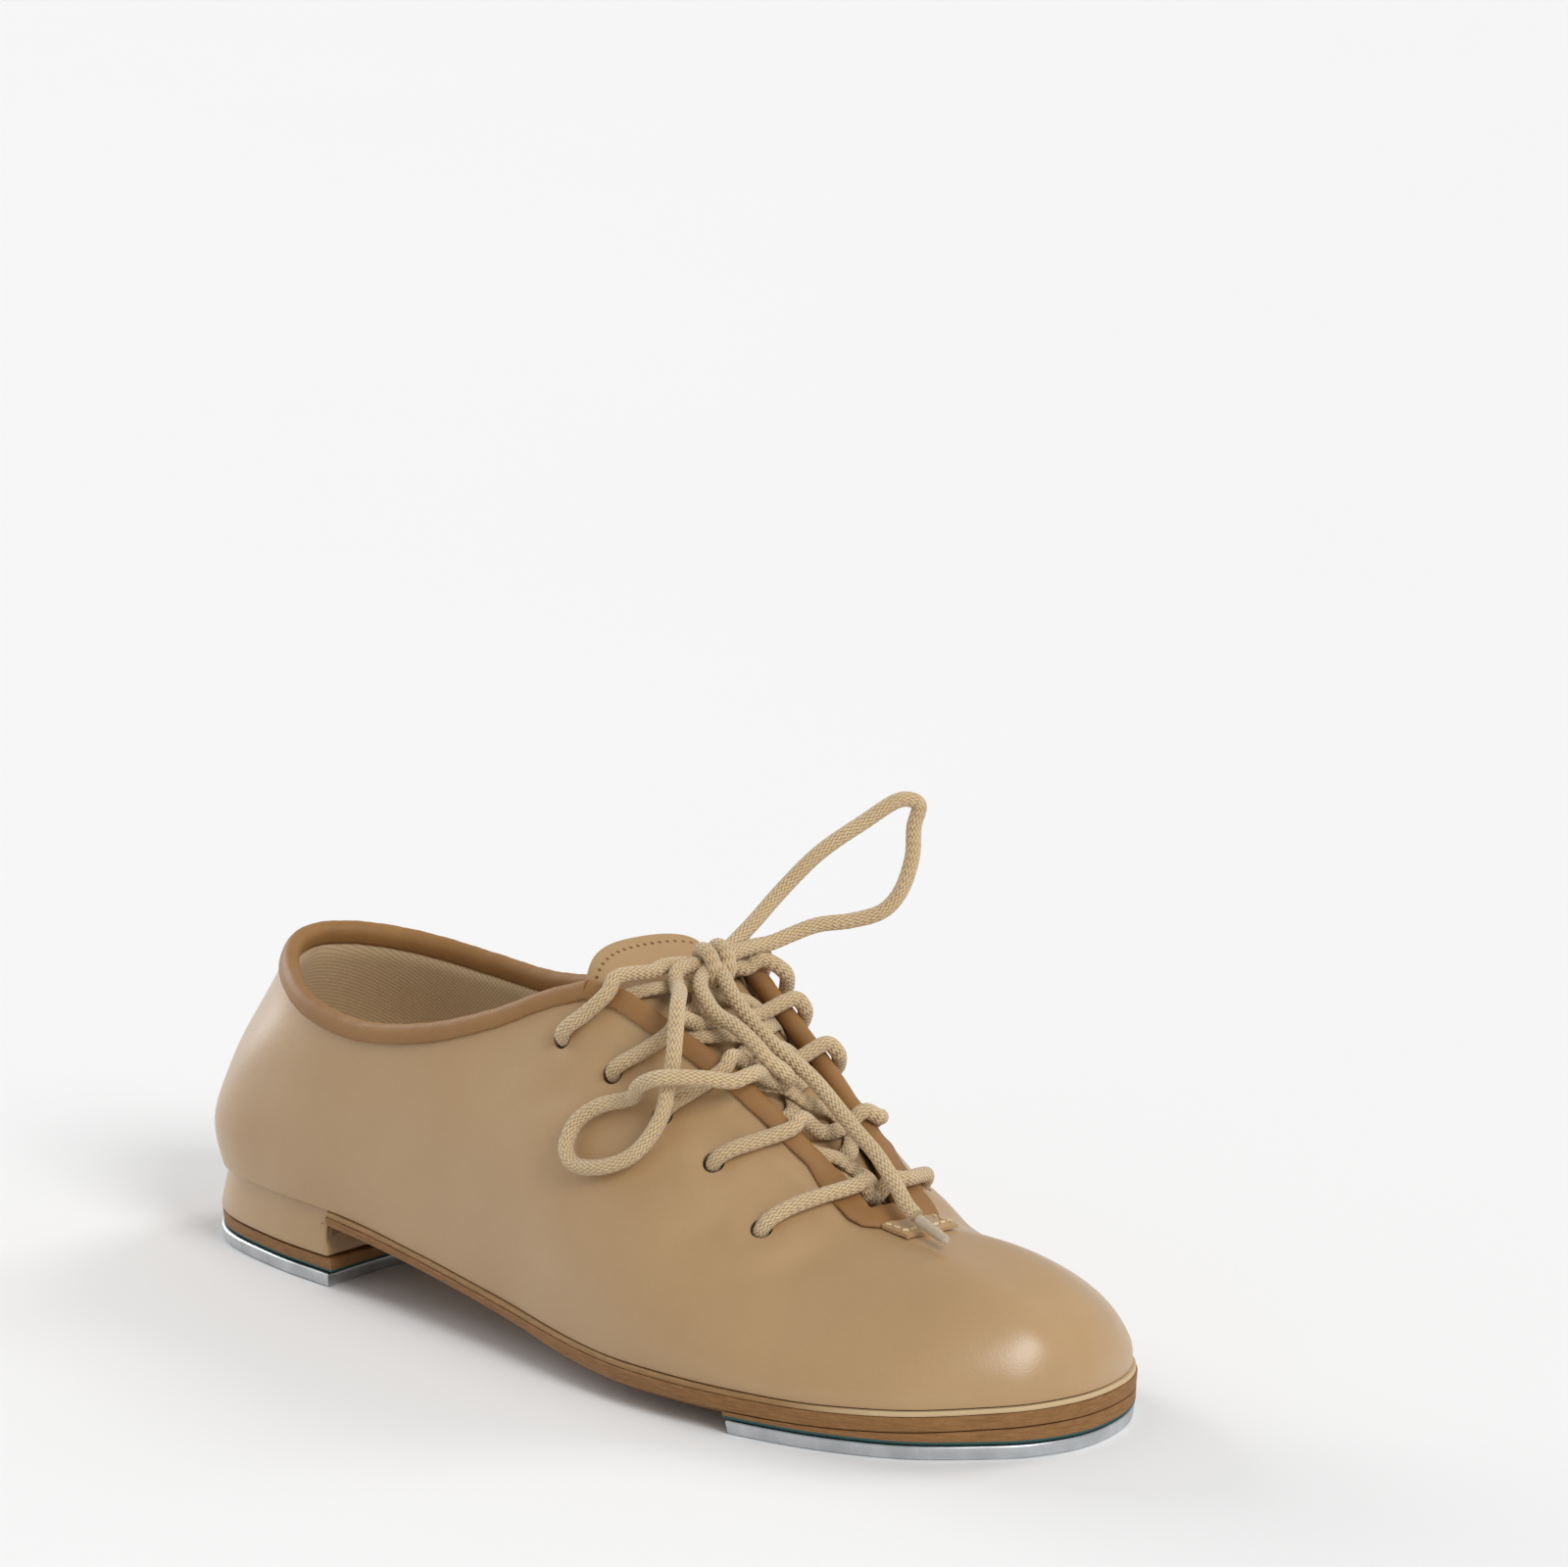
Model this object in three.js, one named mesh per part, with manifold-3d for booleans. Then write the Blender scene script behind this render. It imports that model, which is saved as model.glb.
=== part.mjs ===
// Lace-up tap shoe for the right foot, standing flat on its two taps.
// Millimetres. +X points to the toe, +Y to the big-toe (medial) side, +Z up.
// The origin lies on the floor under the middle of the shoe.

import * as THREE from 'three';
import Module from 'manifold-3d';
import { mergeVertices } from 'three/addons/utils/BufferGeometryUtils.js';

const wasm = await Module();
wasm.setup();

// ---------------------------------------------------------------- driving dimensions

const GAP = 0.3;                    // clearance kept between pieces that touch
const TAP_THICKNESS = 3;            // aluminium plates
const FORE_SEAT = 9;                // height of the upper's lower edge at the ball
const HEEL_SEAT = 16.5;             // the same at the heel
const TOE_SPRING = 2;               // extra lift of that edge at the toe tip
const MIDSOLE = 0.8;
const OUTSOLE_FORE = 3;
const OUTSOLE_WAIST = 1.7;
const LEATHER = 1.2;                // upper leather
const STIFFENER = 0.8;              // toe puff, heel counter, collar foam, eyestay tape
const LINING = 0.6;
const UPPER_INSET = 1;              // the sole edge stands this far outside the upper
const LACE_RADIUS = 1.8;

// The sole bends about a line across the ball; the instep turns with the rear foot.
const HINGE = { x: 33, z: 10.8 };
const REAR_CUT_X = HINGE.x;         // pieces of the rear foot end at this upright plane
const FRONT_CUT_X = HINGE.x + 3;    // forefoot pieces end at a plane leaning forward
const FRONT_CUT_LEAN = 0.53;        // tangent of its lean, a little over the full bend

const SLACK = 0.22;                 // extra room round the soft strips inside the wall

// Layer depths under the outer face of the upper
const STIFFENER_DEPTH = LEATHER + GAP;
const LINING_DEPTH = STIFFENER_DEPTH + STIFFENER + GAP;
const TONGUE_DEPTH = LINING_DEPTH + LINING + 1;
const TONGUE_LEATHER = 1.2;
const TONGUE_LINING_DEPTH = TONGUE_DEPTH + TONGUE_LEATHER + GAP;

// ---------------------------------------------------------------- the foot form

// Stations from the toe tip (0) round to the back of the heel (15):
// x, lateral y and medial y of the sole outline
const OUTLINE = [
  [125, 6, 6],
  [122.5, -6, 18],
  [117, -14.5, 28],
  [107, -25.5, 37],
  [92, -34, 42.5],
  [76, -39, 43.5],
  [60, -42, 42.5],
  [42, -43, 39.5],
  [24, -41.5, 34.5],
  [4, -38.5, 29.5],
  [-24, -35.5, 26.5],
  [-56, -33, 27.5],
  [-85, -31.5, 29.5],
  [-108, -26, 26],
  [-121, -14, 14],
  [-125, 0, 0],
];

// Line over the toes and the instep, stations 1 to 9: x, y, z
const RIDGE = [
  [122.5, 5.8, 20],
  [117, 5, 27],
  [107, 4.5, 32],
  [92, 3.5, 35.3],
  [75, 1, 38.3],
  [62, 0, 48.5],
  [44, -0.5, 62],
  [26, -1, 73],
  [6, -1.5, 82.5],
];

// Top edge of the upper, stations 5 to 15: lacing edge up to the corner, then topline
const THROAT = 5;
const CORNER = 9;
const HEEL_BACK = 15;
const LATERAL_EDGE = [
  [74, -4.5, 38.1],
  [61, -8.5, 47.4],
  [44, -13, 59.7],
  [26, -17.5, 68.9],
  [8, -21, 74.5],
  [-18, -26, 64.5],
  [-50, -29, 55.5],
  [-77, -27, 56.5],
  [-94, -19.5, 60.5],
  [-104.5, -9.5, 63],
  [-108, 0, 63.5],
];
const MEDIAL_EDGE = [
  [74, 9, 37.2],
  [61, 12, 46],
  [44, 14.5, 58],
  [26, 17, 68],
  [8, 20, 75.5],
  [-18, 25, 66.5],
  [-50, 27, 57.5],
  [-77, 25.5, 58],
  [-94, 19, 61],
  [-104.5, 9.5, 63],
  [-108, 0, 63.5],
];

// Fullness of the wall at each station: outward pull and drop at the top edge,
// outward bulge low down, and the direction "outward" takes, turning round the heel
const FULLNESS = [
  [0, 0, 0, 0],
  [0, 0, 0.5, 0],
  [0, 0, 1, 0],
  [0, 0, 1.2, 0],
  [0, 0, 1.5, 0],
  [12, 2.5, 2, 0],
  [10, 7, 2, 0],
  [9, 12, 2, 0],
  [8, 16, 1.5, 0],
  [7, 18, 1.5, 0],
  [5, 16, 0.5, 0],
  [2.5, 12, 1, 0],
  [3, 12, 2.5, 12],
  [5, 13, 3.5, 42],
  [7, 15, 3.5, 68],
  [7.5, 17, 3.5, 90],
];
const LOW_HANDLE = 0.45;            // height of the low bulge within the wall
const TOE_EDGE_SHARE = [0, 0.5, 0.55, 0.6, 0.68];
const ARCH_POWER = 2.4;             // superellipse power of the toe arches

const clamp01 = (t) => Math.min(1, Math.max(0, t));
const smooth = (t) => t * t * (3 - 2 * t);
const vec = (p) => new THREE.Vector3(p[0], p[1], p[2]);

function seat(x) {
  const rise = smooth(clamp01((45 - x) / 120));
  const spring = clamp01((x - 75) / 50) ** 2;
  return FORE_SEAT + (HEEL_SEAT - FORE_SEAT) * rise + TOE_SPRING * spring;
}

// A curve through its points, read by station number; lead and trail are the
// neighbours beyond its ends, which set the direction there
function stationCurve(points, lead, trail, type = 'centripetal') {
  const curve = new THREE.CatmullRomCurve3([lead, ...points, trail], false, type);
  const spans = points.length + 1;
  return (s) => curve.getPoint((1 + s) / spans);
}

const fullness = stationCurve(
  FULLNESS.map(vec), vec(FULLNESS[0]), vec(FULLNESS[HEEL_BACK]), 'catmullrom');
const turning = stationCurve(
  FULLNESS.map((f) => new THREE.Vector3(f[3], 0, 0)),
  new THREE.Vector3(), new THREE.Vector3(112, 0, 0), 'catmullrom');

// Where the walls of the upper come together at the toe
const TOE_TIP = vec(OUTLINE[0]).setX(OUTLINE[0][0] - UPPER_INSET);
TOE_TIP.z = seat(TOE_TIP.x) + GAP;

const ridgePoints = [TOE_TIP, ...RIDGE.map(vec)];
const belowTip = new THREE.Vector3(RIDGE[0][0], RIDGE[0][1], 2 * TOE_TIP.z - RIDGE[0][2]);
const ridgeBeyond = ridgePoints[9].clone().multiplyScalar(2).sub(ridgePoints[8]);
const ridge = stationCurve(ridgePoints, belowTip, ridgeBeyond);

// The top edge of the toe arches, where the lacing edge would run on to the toe tip
function toeEdge(station, outlineY) {
  const [x, y, z] = RIDGE[station - 1];
  const base = seat(x);
  const share = TOE_EDGE_SHARE[station];
  const height = (1 - (1 - share) ** ARCH_POWER) ** (1 / ARCH_POWER);
  return new THREE.Vector3(x, outlineY + (y - outlineY) * share, base + (z - base) * height);
}

function makeSide(sign, column, edgeTable) {
  const outlinePoints = OUTLINE.map((p) => new THREE.Vector3(p[0], p[column], 0));
  const other = 3 - column;
  const lead = new THREE.Vector3(OUTLINE[1][0], OUTLINE[1][other], 0);
  const trail = new THREE.Vector3(OUTLINE[14][0], OUTLINE[14][other], 0);
  const edgePoints = [ridgePoints[0].clone()];
  for (let i = 1; i < THROAT; i++) edgePoints.push(toeEdge(i, OUTLINE[i][column]));
  edgePoints.push(...edgeTable.map(vec));
  const edgeTrail = vec(edgeTable[9]);
  edgeTrail.y = -edgeTrail.y;
  return {
    sign,
    outline: stationCurve(outlinePoints, lead, trail),
    edge: stationCurve(edgePoints, belowTip, edgeTrail),
  };
}

const LATERAL = makeSide(-1, 1, LATERAL_EDGE);
const MEDIAL = makeSide(1, 2, MEDIAL_EDGE);
const SIDES = [LATERAL, MEDIAL];

// Outward direction of the outline in plan
function planNormal(side, s) {
  if (s < 0.01) return new THREE.Vector3(1, 0, 0);
  if (s > HEEL_BACK - 0.01) return new THREE.Vector3(-1, 0, 0);
  const step = side.outline(s + 0.01).sub(side.outline(s - 0.01)).normalize();
  return new THREE.Vector3(step.y, -step.x, 0).multiplyScalar(side.sign);
}

// A point of the sole outline moved inward by inset
function planPoint(side, s, inset) {
  return side.outline(s).addScaledVector(planNormal(side, s), -inset);
}

function bezier(a, b, c, d, t) {
  const k = 1 - t;
  return a.clone().multiplyScalar(k * k * k)
    .addScaledVector(b, 3 * k * k * t)
    .addScaledVector(c, 3 * k * t * t)
    .addScaledVector(d, t * t * t);
}

// Outer face of the upper. v runs 0 to 1 up the wall to the top edge, and 1 to 2 on
// from that edge to the ridge over the toes and the instep.
function skin(side, s, v) {
  if (s < 0.01) return TOE_TIP.clone();
  const foot = planPoint(side, s, UPPER_INSET);
  foot.z = seat(foot.x) + GAP;
  const edge = side.edge(s);
  const { x: pull, y: drop, z: bulge } = fullness(s);
  const turn = THREE.MathUtils.degToRad(turning(s).x);
  const out = new THREE.Vector3(-Math.sin(turn), side.sign * Math.cos(turn), 0);
  const width = Math.abs(edge.y - foot.y);
  const height = edge.z - foot.z;
  const toe = 1 - smooth(clamp01(s - THROAT + 1));
  const reach = pull + toe * 0.5 * width;
  const fall = drop + toe * 0.25 * height;
  const low = foot.clone().addScaledVector(out, bulge);
  low.z += LOW_HANDLE * height;
  const high = edge.clone().addScaledVector(out, reach);
  high.z -= fall;
  if (v <= 1) return bezier(foot, low, high, edge, v);
  const top = ridge(s);
  const span = edge.distanceTo(top);
  const onward = edge.clone().sub(high);
  if (onward.lengthSq() > 0) onward.setLength(0.4 * span);
  const near = edge.clone().add(onward);
  const far = top.clone();
  far.y += side.sign * 0.4 * span;
  return bezier(edge, near, far, top, v - 1);
}

function slopeAlong(side, s, v) {
  const a = Math.max(0.02, s - 0.02);
  const b = Math.min(HEEL_BACK, a + 0.04);
  return skin(side, b, v).sub(skin(side, b - 0.04, v));
}

function slopeUp(side, s, v) {
  const t = v > 1 ? Math.min(2, v + 0.01) : Math.min(1, v + 0.01);
  return skin(side, s, t).sub(skin(side, s, t - 0.02 < 0 ? 0 : t - 0.02));
}

function skinNormal(side, s, v) {
  if (s < 0.01) return new THREE.Vector3(1, 0, 0);
  if (v > 1.999) {
    const back = ridge(s + 0.01).sub(ridge(s - 0.01));
    return new THREE.Vector3(back.z, 0, -back.x).normalize();
  }
  const up = slopeUp(side, s, v);
  if (s > HEEL_BACK - 0.001) return new THREE.Vector3(-up.z, 0, up.x).normalize();
  return slopeAlong(side, s, v).cross(up).multiplyScalar(side.sign).normalize();
}

// A point at some depth under the outer face; a negative depth is outside
function layer(side, s, v, depth) {
  return skin(side, s, v).addScaledVector(skinNormal(side, s, v), -depth);
}

// ---------------------------------------------------------------- mesh helpers

const range = (from, to, count) =>
  Array.from({ length: count + 1 }, (_, i) => from + ((to - from) * i) / count);

// One closed body between two facing sheets. Each patch is a grid of cells
// { front, back }; grids that share an edge grow together.
function sheetSolid(patches) {
  const points = [];
  const backs = [];
  const known = new Map();
  const id = (cell) => {
    const key = cell.front.toArray().map((c) => Math.round(c * 1000)).join();
    if (!known.has(key)) {
      known.set(key, points.length);
      points.push(cell.front);
      backs.push(cell.back);
    }
    return known.get(key);
  };
  const faces = [];
  const addFace = (a, b, c) => {
    if (a === b || b === c || c === a) return;
    const centre = points[a].clone().add(points[b]).add(points[c]);
    const behind = backs[a].clone().add(backs[b]).add(backs[c]);
    const normal = points[b].clone().sub(points[a]).cross(points[c].clone().sub(points[a]));
    if (normal.dot(centre.sub(behind)) > 0) faces.push([a, b, c]);
    else faces.push([a, c, b]);
  };
  for (const patch of patches) {
    for (let i = 0; i + 1 < patch.length; i++) {
      for (let j = 0; j + 1 < patch[i].length; j++) {
        const quad = [patch[i][j], patch[i + 1][j], patch[i + 1][j + 1], patch[i][j + 1]];
        const [a, b, c, d] = quad.map(id);
        addFace(a, b, c);
        addFace(a, c, d);
      }
    }
  }
  const edges = new Set();
  for (const [a, b, c] of faces) {
    edges.add(`${a},${b}`).add(`${b},${c}`).add(`${c},${a}`);
  }
  const count = points.length;
  const index = [];
  for (const [a, b, c] of faces) {
    index.push(a, b, c, c + count, b + count, a + count);
  }
  for (const edge of edges) {
    const [a, b] = edge.split(',').map(Number);
    if (edges.has(`${b},${a}`)) continue;
    index.push(b, a, a + count, b, a + count, b + count);
  }
  const geometry = new THREE.BufferGeometry();
  const all = [...points, ...backs].flatMap((p) => p.toArray());
  geometry.setAttribute('position', new THREE.Float32BufferAttribute(all, 3));
  geometry.setIndex(index);
  return tidy(geometry);
}

// Merge equal vertices and drop faces that have collapsed to a line
function tidy(geometry) {
  const bare = geometry.clone();
  bare.deleteAttribute('normal');
  bare.deleteAttribute('uv');
  const merged = mergeVertices(bare, 1e-4);
  const kept = [];
  const old = merged.index.array;
  for (let i = 0; i < old.length; i += 3) {
    const [a, b, c] = [old[i], old[i + 1], old[i + 2]];
    if (a !== b && b !== c && c !== a) kept.push(a, b, c);
  }
  merged.setIndex(kept);
  return merged;
}

function toManifold(geometry) {
  const merged = tidy(geometry);
  return new wasm.Manifold(new wasm.Mesh({
    numProp: 3,
    vertProperties: new Float32Array(merged.attributes.position.array),
    triVerts: new Uint32Array(merged.index.array),
  }));
}

function fromManifold(solid) {
  const mesh = solid.getMesh();
  const geometry = new THREE.BufferGeometry();
  geometry.setAttribute('position', new THREE.BufferAttribute(mesh.vertProperties, 3));
  geometry.setIndex(new THREE.BufferAttribute(mesh.triVerts, 1));
  return geometry;
}

function cut(geometry, tools) {
  let solid = toManifold(geometry);
  for (const tool of tools) solid = solid.subtract(toManifold(tool));
  return fromManifold(solid);
}

// A wall of the upper: patches of [side, rows, columns] where a row gives s for each v
function wall(patches, depth, thickness) {
  return sheetSolid(patches.map(({ side, rows, columns }) =>
    rows.map((row) => columns.map((v) => {
      const s = typeof row === 'function' ? row(v) : row;
      return { front: layer(side, s, v, depth), back: layer(side, s, v, depth + thickness) };
    }))));
}

// Station where the outer face crosses a plane; plane(p) is positive towards the toe
function crossing(side, v, plane, from = THROAT - 1, to = CORNER + 2) {
  let a = from;
  let b = to;
  for (let i = 0; i < 30; i++) {
    const middle = (a + b) / 2;
    if (plane(skin(side, middle, v)) > 0) a = middle;
    else b = middle;
  }
  return (a + b) / 2;
}

const rearPlane = (shift) => (p) => p.x - (REAR_CUT_X + shift);
const frontPlane = (shift) => (p) =>
  p.x - (FRONT_CUT_X + shift + FRONT_CUT_LEAN * (p.z - HINGE.z));

// Rows between two row functions
function rowsBetween(first, last, count) {
  const at = (row, v) => (typeof row === 'function' ? row(v) : row);
  return range(0, 1, count).map((k) => (v) => at(first, v) * (1 - k) + at(last, v) * k);
}

// A flat layer of the sole, with its outline inset at top and bottom, from station
// rows; each row is { lateral, medial } stations, and "bow" curves the last row
function slab({ rows, top, bottom, insetTop, insetBottom = insetTop, bow = 0, columns = 3 }) {
  const grid = rows.map((row, i) => range(0, 1, columns - 1).map((w) => {
    const edge = i === rows.length - 1 ? bow * Math.sin(Math.PI * w) : 0;
    const place = (inset) => {
      const a = planPoint(LATERAL, row.lateral, inset);
      const b = planPoint(MEDIAL, row.medial, inset);
      return a.lerp(b, w).add(new THREE.Vector3(edge, 0, 0));
    };
    const front = place(insetTop);
    const back = place(insetBottom);
    front.z = top(front.x);
    back.z = bottom(back.x);
    return { front, back };
  }));
  return sheetSolid([grid]);
}

function outlineCrossing(side, x, inset) {
  let a = 0;
  let b = HEEL_BACK;
  for (let i = 0; i < 40; i++) {
    const middle = (a + b) / 2;
    if (planPoint(side, middle, inset).x > x) a = middle;
    else b = middle;
  }
  return (a + b) / 2;
}

function cutRow(x, inset) {
  return {
    lateral: outlineCrossing(LATERAL, x, inset),
    medial: outlineCrossing(MEDIAL, x, inset),
  };
}

const even = (s) => ({ lateral: s, medial: s });

// Station rows from the toe tip back to x, or from x to the back of the heel
const TOE_ROWS = [0, 0.3, 0.6, 1, 1.5, 2, 2.5, 3, 3.5, 4];
const HEEL_ROWS = [13, 13.5, 14, 14.4, 14.7, 15];

function rowsFromToe(x, inset) {
  const end = cutRow(x, inset);
  const rows = TOE_ROWS.filter((s) => s < Math.min(end.lateral, end.medial) - 0.3).map(even);
  const last = rows[rows.length - 1];
  const steps = Math.max(1, Math.round(end.lateral - last.lateral));
  for (const k of range(0, 1, steps).slice(1)) {
    rows.push({
      lateral: last.lateral + (end.lateral - last.lateral) * k,
      medial: last.medial + (end.medial - last.medial) * k,
    });
  }
  return rows;
}

function rowsFromHeel(x, inset) {
  const end = cutRow(x, inset);
  const rows = HEEL_ROWS.filter((s) => s > Math.max(end.lateral, end.medial) + 0.3).map(even);
  const first = rows[0];
  const steps = Math.max(1, Math.round(first.lateral - end.lateral));
  for (const k of range(0, 1, steps).slice(1)) {
    rows.unshift({
      lateral: first.lateral + (end.lateral - first.lateral) * k,
      medial: first.medial + (end.medial - first.medial) * k,
    });
  }
  return rows.reverse();
}

function rowsBetweenCuts(fromX, toX, inset, count) {
  return range(fromX, toX, count).map((x) => cutRow(x, inset));
}

// A round tube along a smooth line through its points
function tube(points, radius, steps, sides = 8) {
  const section = new THREE.Shape(range(0, 1, sides).slice(0, sides).map((t) =>
    new THREE.Vector2(Math.cos(2 * Math.PI * t), Math.sin(2 * Math.PI * t)).multiplyScalar(radius)));
  const path = new THREE.CatmullRomCurve3(points, false, 'centripetal');
  return new THREE.ExtrudeGeometry(section, { steps, extrudePath: path, bevelEnabled: false });
}

function uprightCylinder(x, y, z0, z1, radius, sides = 12) {
  const geometry = new THREE.CylinderGeometry(radius, radius, z1 - z0, sides);
  geometry.rotateX(Math.PI / 2);
  geometry.translate(x, y, (z0 + z1) / 2);
  return geometry;
}

// ---------------------------------------------------------------- materials

const material = (color, roughness, metalness = 0) =>
  new THREE.MeshStandardMaterial({ color, roughness, metalness });
const TAN_LEATHER = material('#b0946c', 0.45);
const BINDING = material('#b58a50', 0.6);
const LINING_CLOTH = material('#cdb591', 0.85);
const STIFF_BOARD = material('#8f7355', 0.9);
const SOLE_BROWN = material('#96704a', 0.75);
const CREAM = material('#d8c9a8', 0.7);
const ALUMINIUM = material('#b9bdc2', 0.35, 1);
const STEEL = material('#8d8f92', 0.3, 1);
const LACE_COTTON = material('#cdb48f', 0.9);
const AGLET_CLEAR = material('#e6e0d2', 0.2);
const FOAM = material('#d9cdb8', 0.95);

const shoe = new THREE.Group();

function add(name, geometry, look) {
  const mesh = new THREE.Mesh(geometry, look);
  mesh.name = name;
  shoe.add(mesh);
  return mesh;
}

// ---------------------------------------------------------------- taps and their screws

const TOE_TAP_REAR = 71;
const HEEL_BREAST = -64;
const TOE_SCREWS = [[112, 6], [88, -20], [88, 28]];
const HEEL_SCREWS = [[-112, 0], [-80, -19], [-80, 19]];
const SCREW = { head: 3.6, neck: 1.5, headDepth: 1.9, clearance: 0.3, recess: 0.3 };

function countersunkScrew(length) {
  const { head, neck, headDepth, recess } = SCREW;
  const profile = [[0, recess], [head, recess], [neck, recess + headDepth],
    [neck, length - 1.5], [0, length]];
  const geometry = new THREE.LatheGeometry(profile.map((p) => new THREE.Vector2(...p)), 12);
  return geometry.rotateX(Math.PI / 2);
}

function screwHole(x, y, depth) {
  const { head, neck, headDepth, clearance, recess } = SCREW;
  const wide = head + clearance;
  const profile = [[0, -1], [wide, -1], [wide, recess], [neck + clearance, recess + headDepth],
    [neck + clearance, depth], [0, depth]];
  const geometry = new THREE.LatheGeometry(profile.map((p) => new THREE.Vector2(...p)), 12);
  geometry.rotateX(Math.PI / 2);
  return geometry.translate(x, y, 0);
}

function addTap(name, rows, bow, screws, screwLength) {
  const plate = slab({
    rows, bow, insetTop: 0.4, insetBottom: 0.9, columns: 5,
    top: () => TAP_THICKNESS, bottom: () => 0,
  });
  const holes = screws.map(([x, y]) => screwHole(x, y, TAP_THICKNESS + 1));
  add(name, cut(plate, holes), ALUMINIUM);
  screws.forEach(([x, y], i) => {
    const screw = add(`${name}_screw_${i + 1}`, countersunkScrew(screwLength), STEEL);
    screw.position.set(x, y, 0);
  });
}

addTap('toe_tap', rowsFromToe(TOE_TAP_REAR, 0.4), 6, TOE_SCREWS, 8);
addTap('heel_tap', rowsFromHeel(HEEL_BREAST - 1, 0.4), -4, HEEL_SCREWS, 10);

// ---------------------------------------------------------------- sole

const midsoleTop = (x) => seat(x);
const midsoleBottom = (x) => seat(x) - MIDSOLE;
const outsoleTop = (x) => seat(x) - MIDSOLE - GAP;
const outsoleThickness = (x) =>
  OUTSOLE_WAIST + (OUTSOLE_FORE - OUTSOLE_WAIST) * smooth(clamp01((x + 10) / 50));
const outsoleBottom = (x) => outsoleTop(x) - outsoleThickness(x);
const underOutsole = (x) => outsoleBottom(x) - GAP - SLACK;

const screwShaft = ([x, y], z0, z1) => uprightCylinder(x, y, z0, z1, SCREW.neck + 0.4);

function addSole() {
  const front = HINGE.x + 0.15;
  const rear = HINGE.x - 0.15;
  const shaftHoles = TOE_SCREWS.map((p) => screwShaft(p, -1, 20));
  add('outsole_front', cut(slab({
    rows: rowsFromToe(front, 0), insetTop: 0, insetBottom: 0.3,
    top: outsoleTop, bottom: outsoleBottom,
  }), shaftHoles), SOLE_BROWN);
  add('outsole_rear', slab({
    rows: rowsFromHeel(rear, 0), insetTop: 0, insetBottom: 0.3,
    top: outsoleTop, bottom: outsoleBottom,
  }), SOLE_BROWN);
  add('midsole_front', slab({
    rows: rowsFromToe(front, 0.3), insetTop: 0.3, top: midsoleTop, bottom: midsoleBottom,
  }), CREAM);
  add('midsole_rear', slab({
    rows: rowsFromHeel(rear, 0.3), insetTop: 0.3, top: midsoleTop, bottom: midsoleBottom,
  }), CREAM);
  add('toe_tap_board', cut(slab({
    rows: rowsFromToe(TOE_TAP_REAR - 1, 0.3), insetTop: 0.3, bow: 5, columns: 5,
    top: underOutsole, bottom: () => TAP_THICKNESS + GAP,
  }), shaftHoles), SOLE_BROWN);
  add('ball_pad', slab({
    rows: rowsBetweenCuts(70, 36, 2.5, 4), insetTop: 2.5, insetBottom: 3,
    top: underOutsole, bottom: () => TAP_THICKNESS + GAP,
  }), SOLE_BROWN);
}
addSole();

// ---------------------------------------------------------------- heel

const HEEL_LIFT = 3;                // brown top lift between block and tap
const HEEL_SKIN = 1;                // leather wrapped round the heel block
const liftTop = TAP_THICKNESS + GAP + HEEL_LIFT;

function addHeel() {
  const rows = rowsFromHeel(HEEL_BREAST, 1.3);
  const holes = HEEL_SCREWS.map((p) => screwShaft(p, -1, 10.5));
  add('heel_block', cut(slab({
    rows, insetTop: 1.3, insetBottom: 2, bow: -3, columns: 5,
    top: underOutsole, bottom: () => liftTop + GAP,
  }), holes), STIFF_BOARD);
  add('heel_lift', cut(slab({
    rows: rowsFromHeel(HEEL_BREAST, 0.6), insetTop: 0.6, insetBottom: 0.9, bow: -3, columns: 5,
    top: () => liftTop, bottom: () => TAP_THICKNESS + GAP,
  }), holes), SOLE_BROWN);
  const around = [
    ...rows.slice().reverse().map((r) => [LATERAL, r.lateral]),
    ...rows.slice(1).map((r) => [MEDIAL, r.medial]),
  ];
  const ring = around.map(([side, s]) => [0, 1].map((k) => {
    const at = (inset) => planPoint(side, s, inset + 0.7 * (1 - k));
    const front = at(0);
    const back = at(HEEL_SKIN);
    const low = liftTop + GAP;
    front.z = low + (underOutsole(front.x) - low) * k;
    back.z = low + (underOutsole(front.x) - low) * k;
    return { front, back };
  }));
  add('heel_cover', sheetSolid([ring]), TAN_LEATHER);
}
addHeel();

// ---------------------------------------------------------------- inside the shoe, underfoot

const FILLER = 1;
const INSOLE = 1.8;
const SOCK = 2;
const fillerBottom = (x) => seat(x) + GAP;
const fillerTop = (x) => fillerBottom(x) + FILLER;
const shankTop = (x) => fillerTop(x) - SLACK;
const insoleBottom = (x) => fillerTop(x) + GAP;
const insoleTop = (x) => insoleBottom(x) + INSOLE;
const sockBottom = (x) => insoleTop(x) + GAP;
const sockTop = (x) => sockBottom(x) + SOCK;
const INSIDE = UPPER_INSET + LINING_DEPTH + LINING + 1.4;

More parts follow.
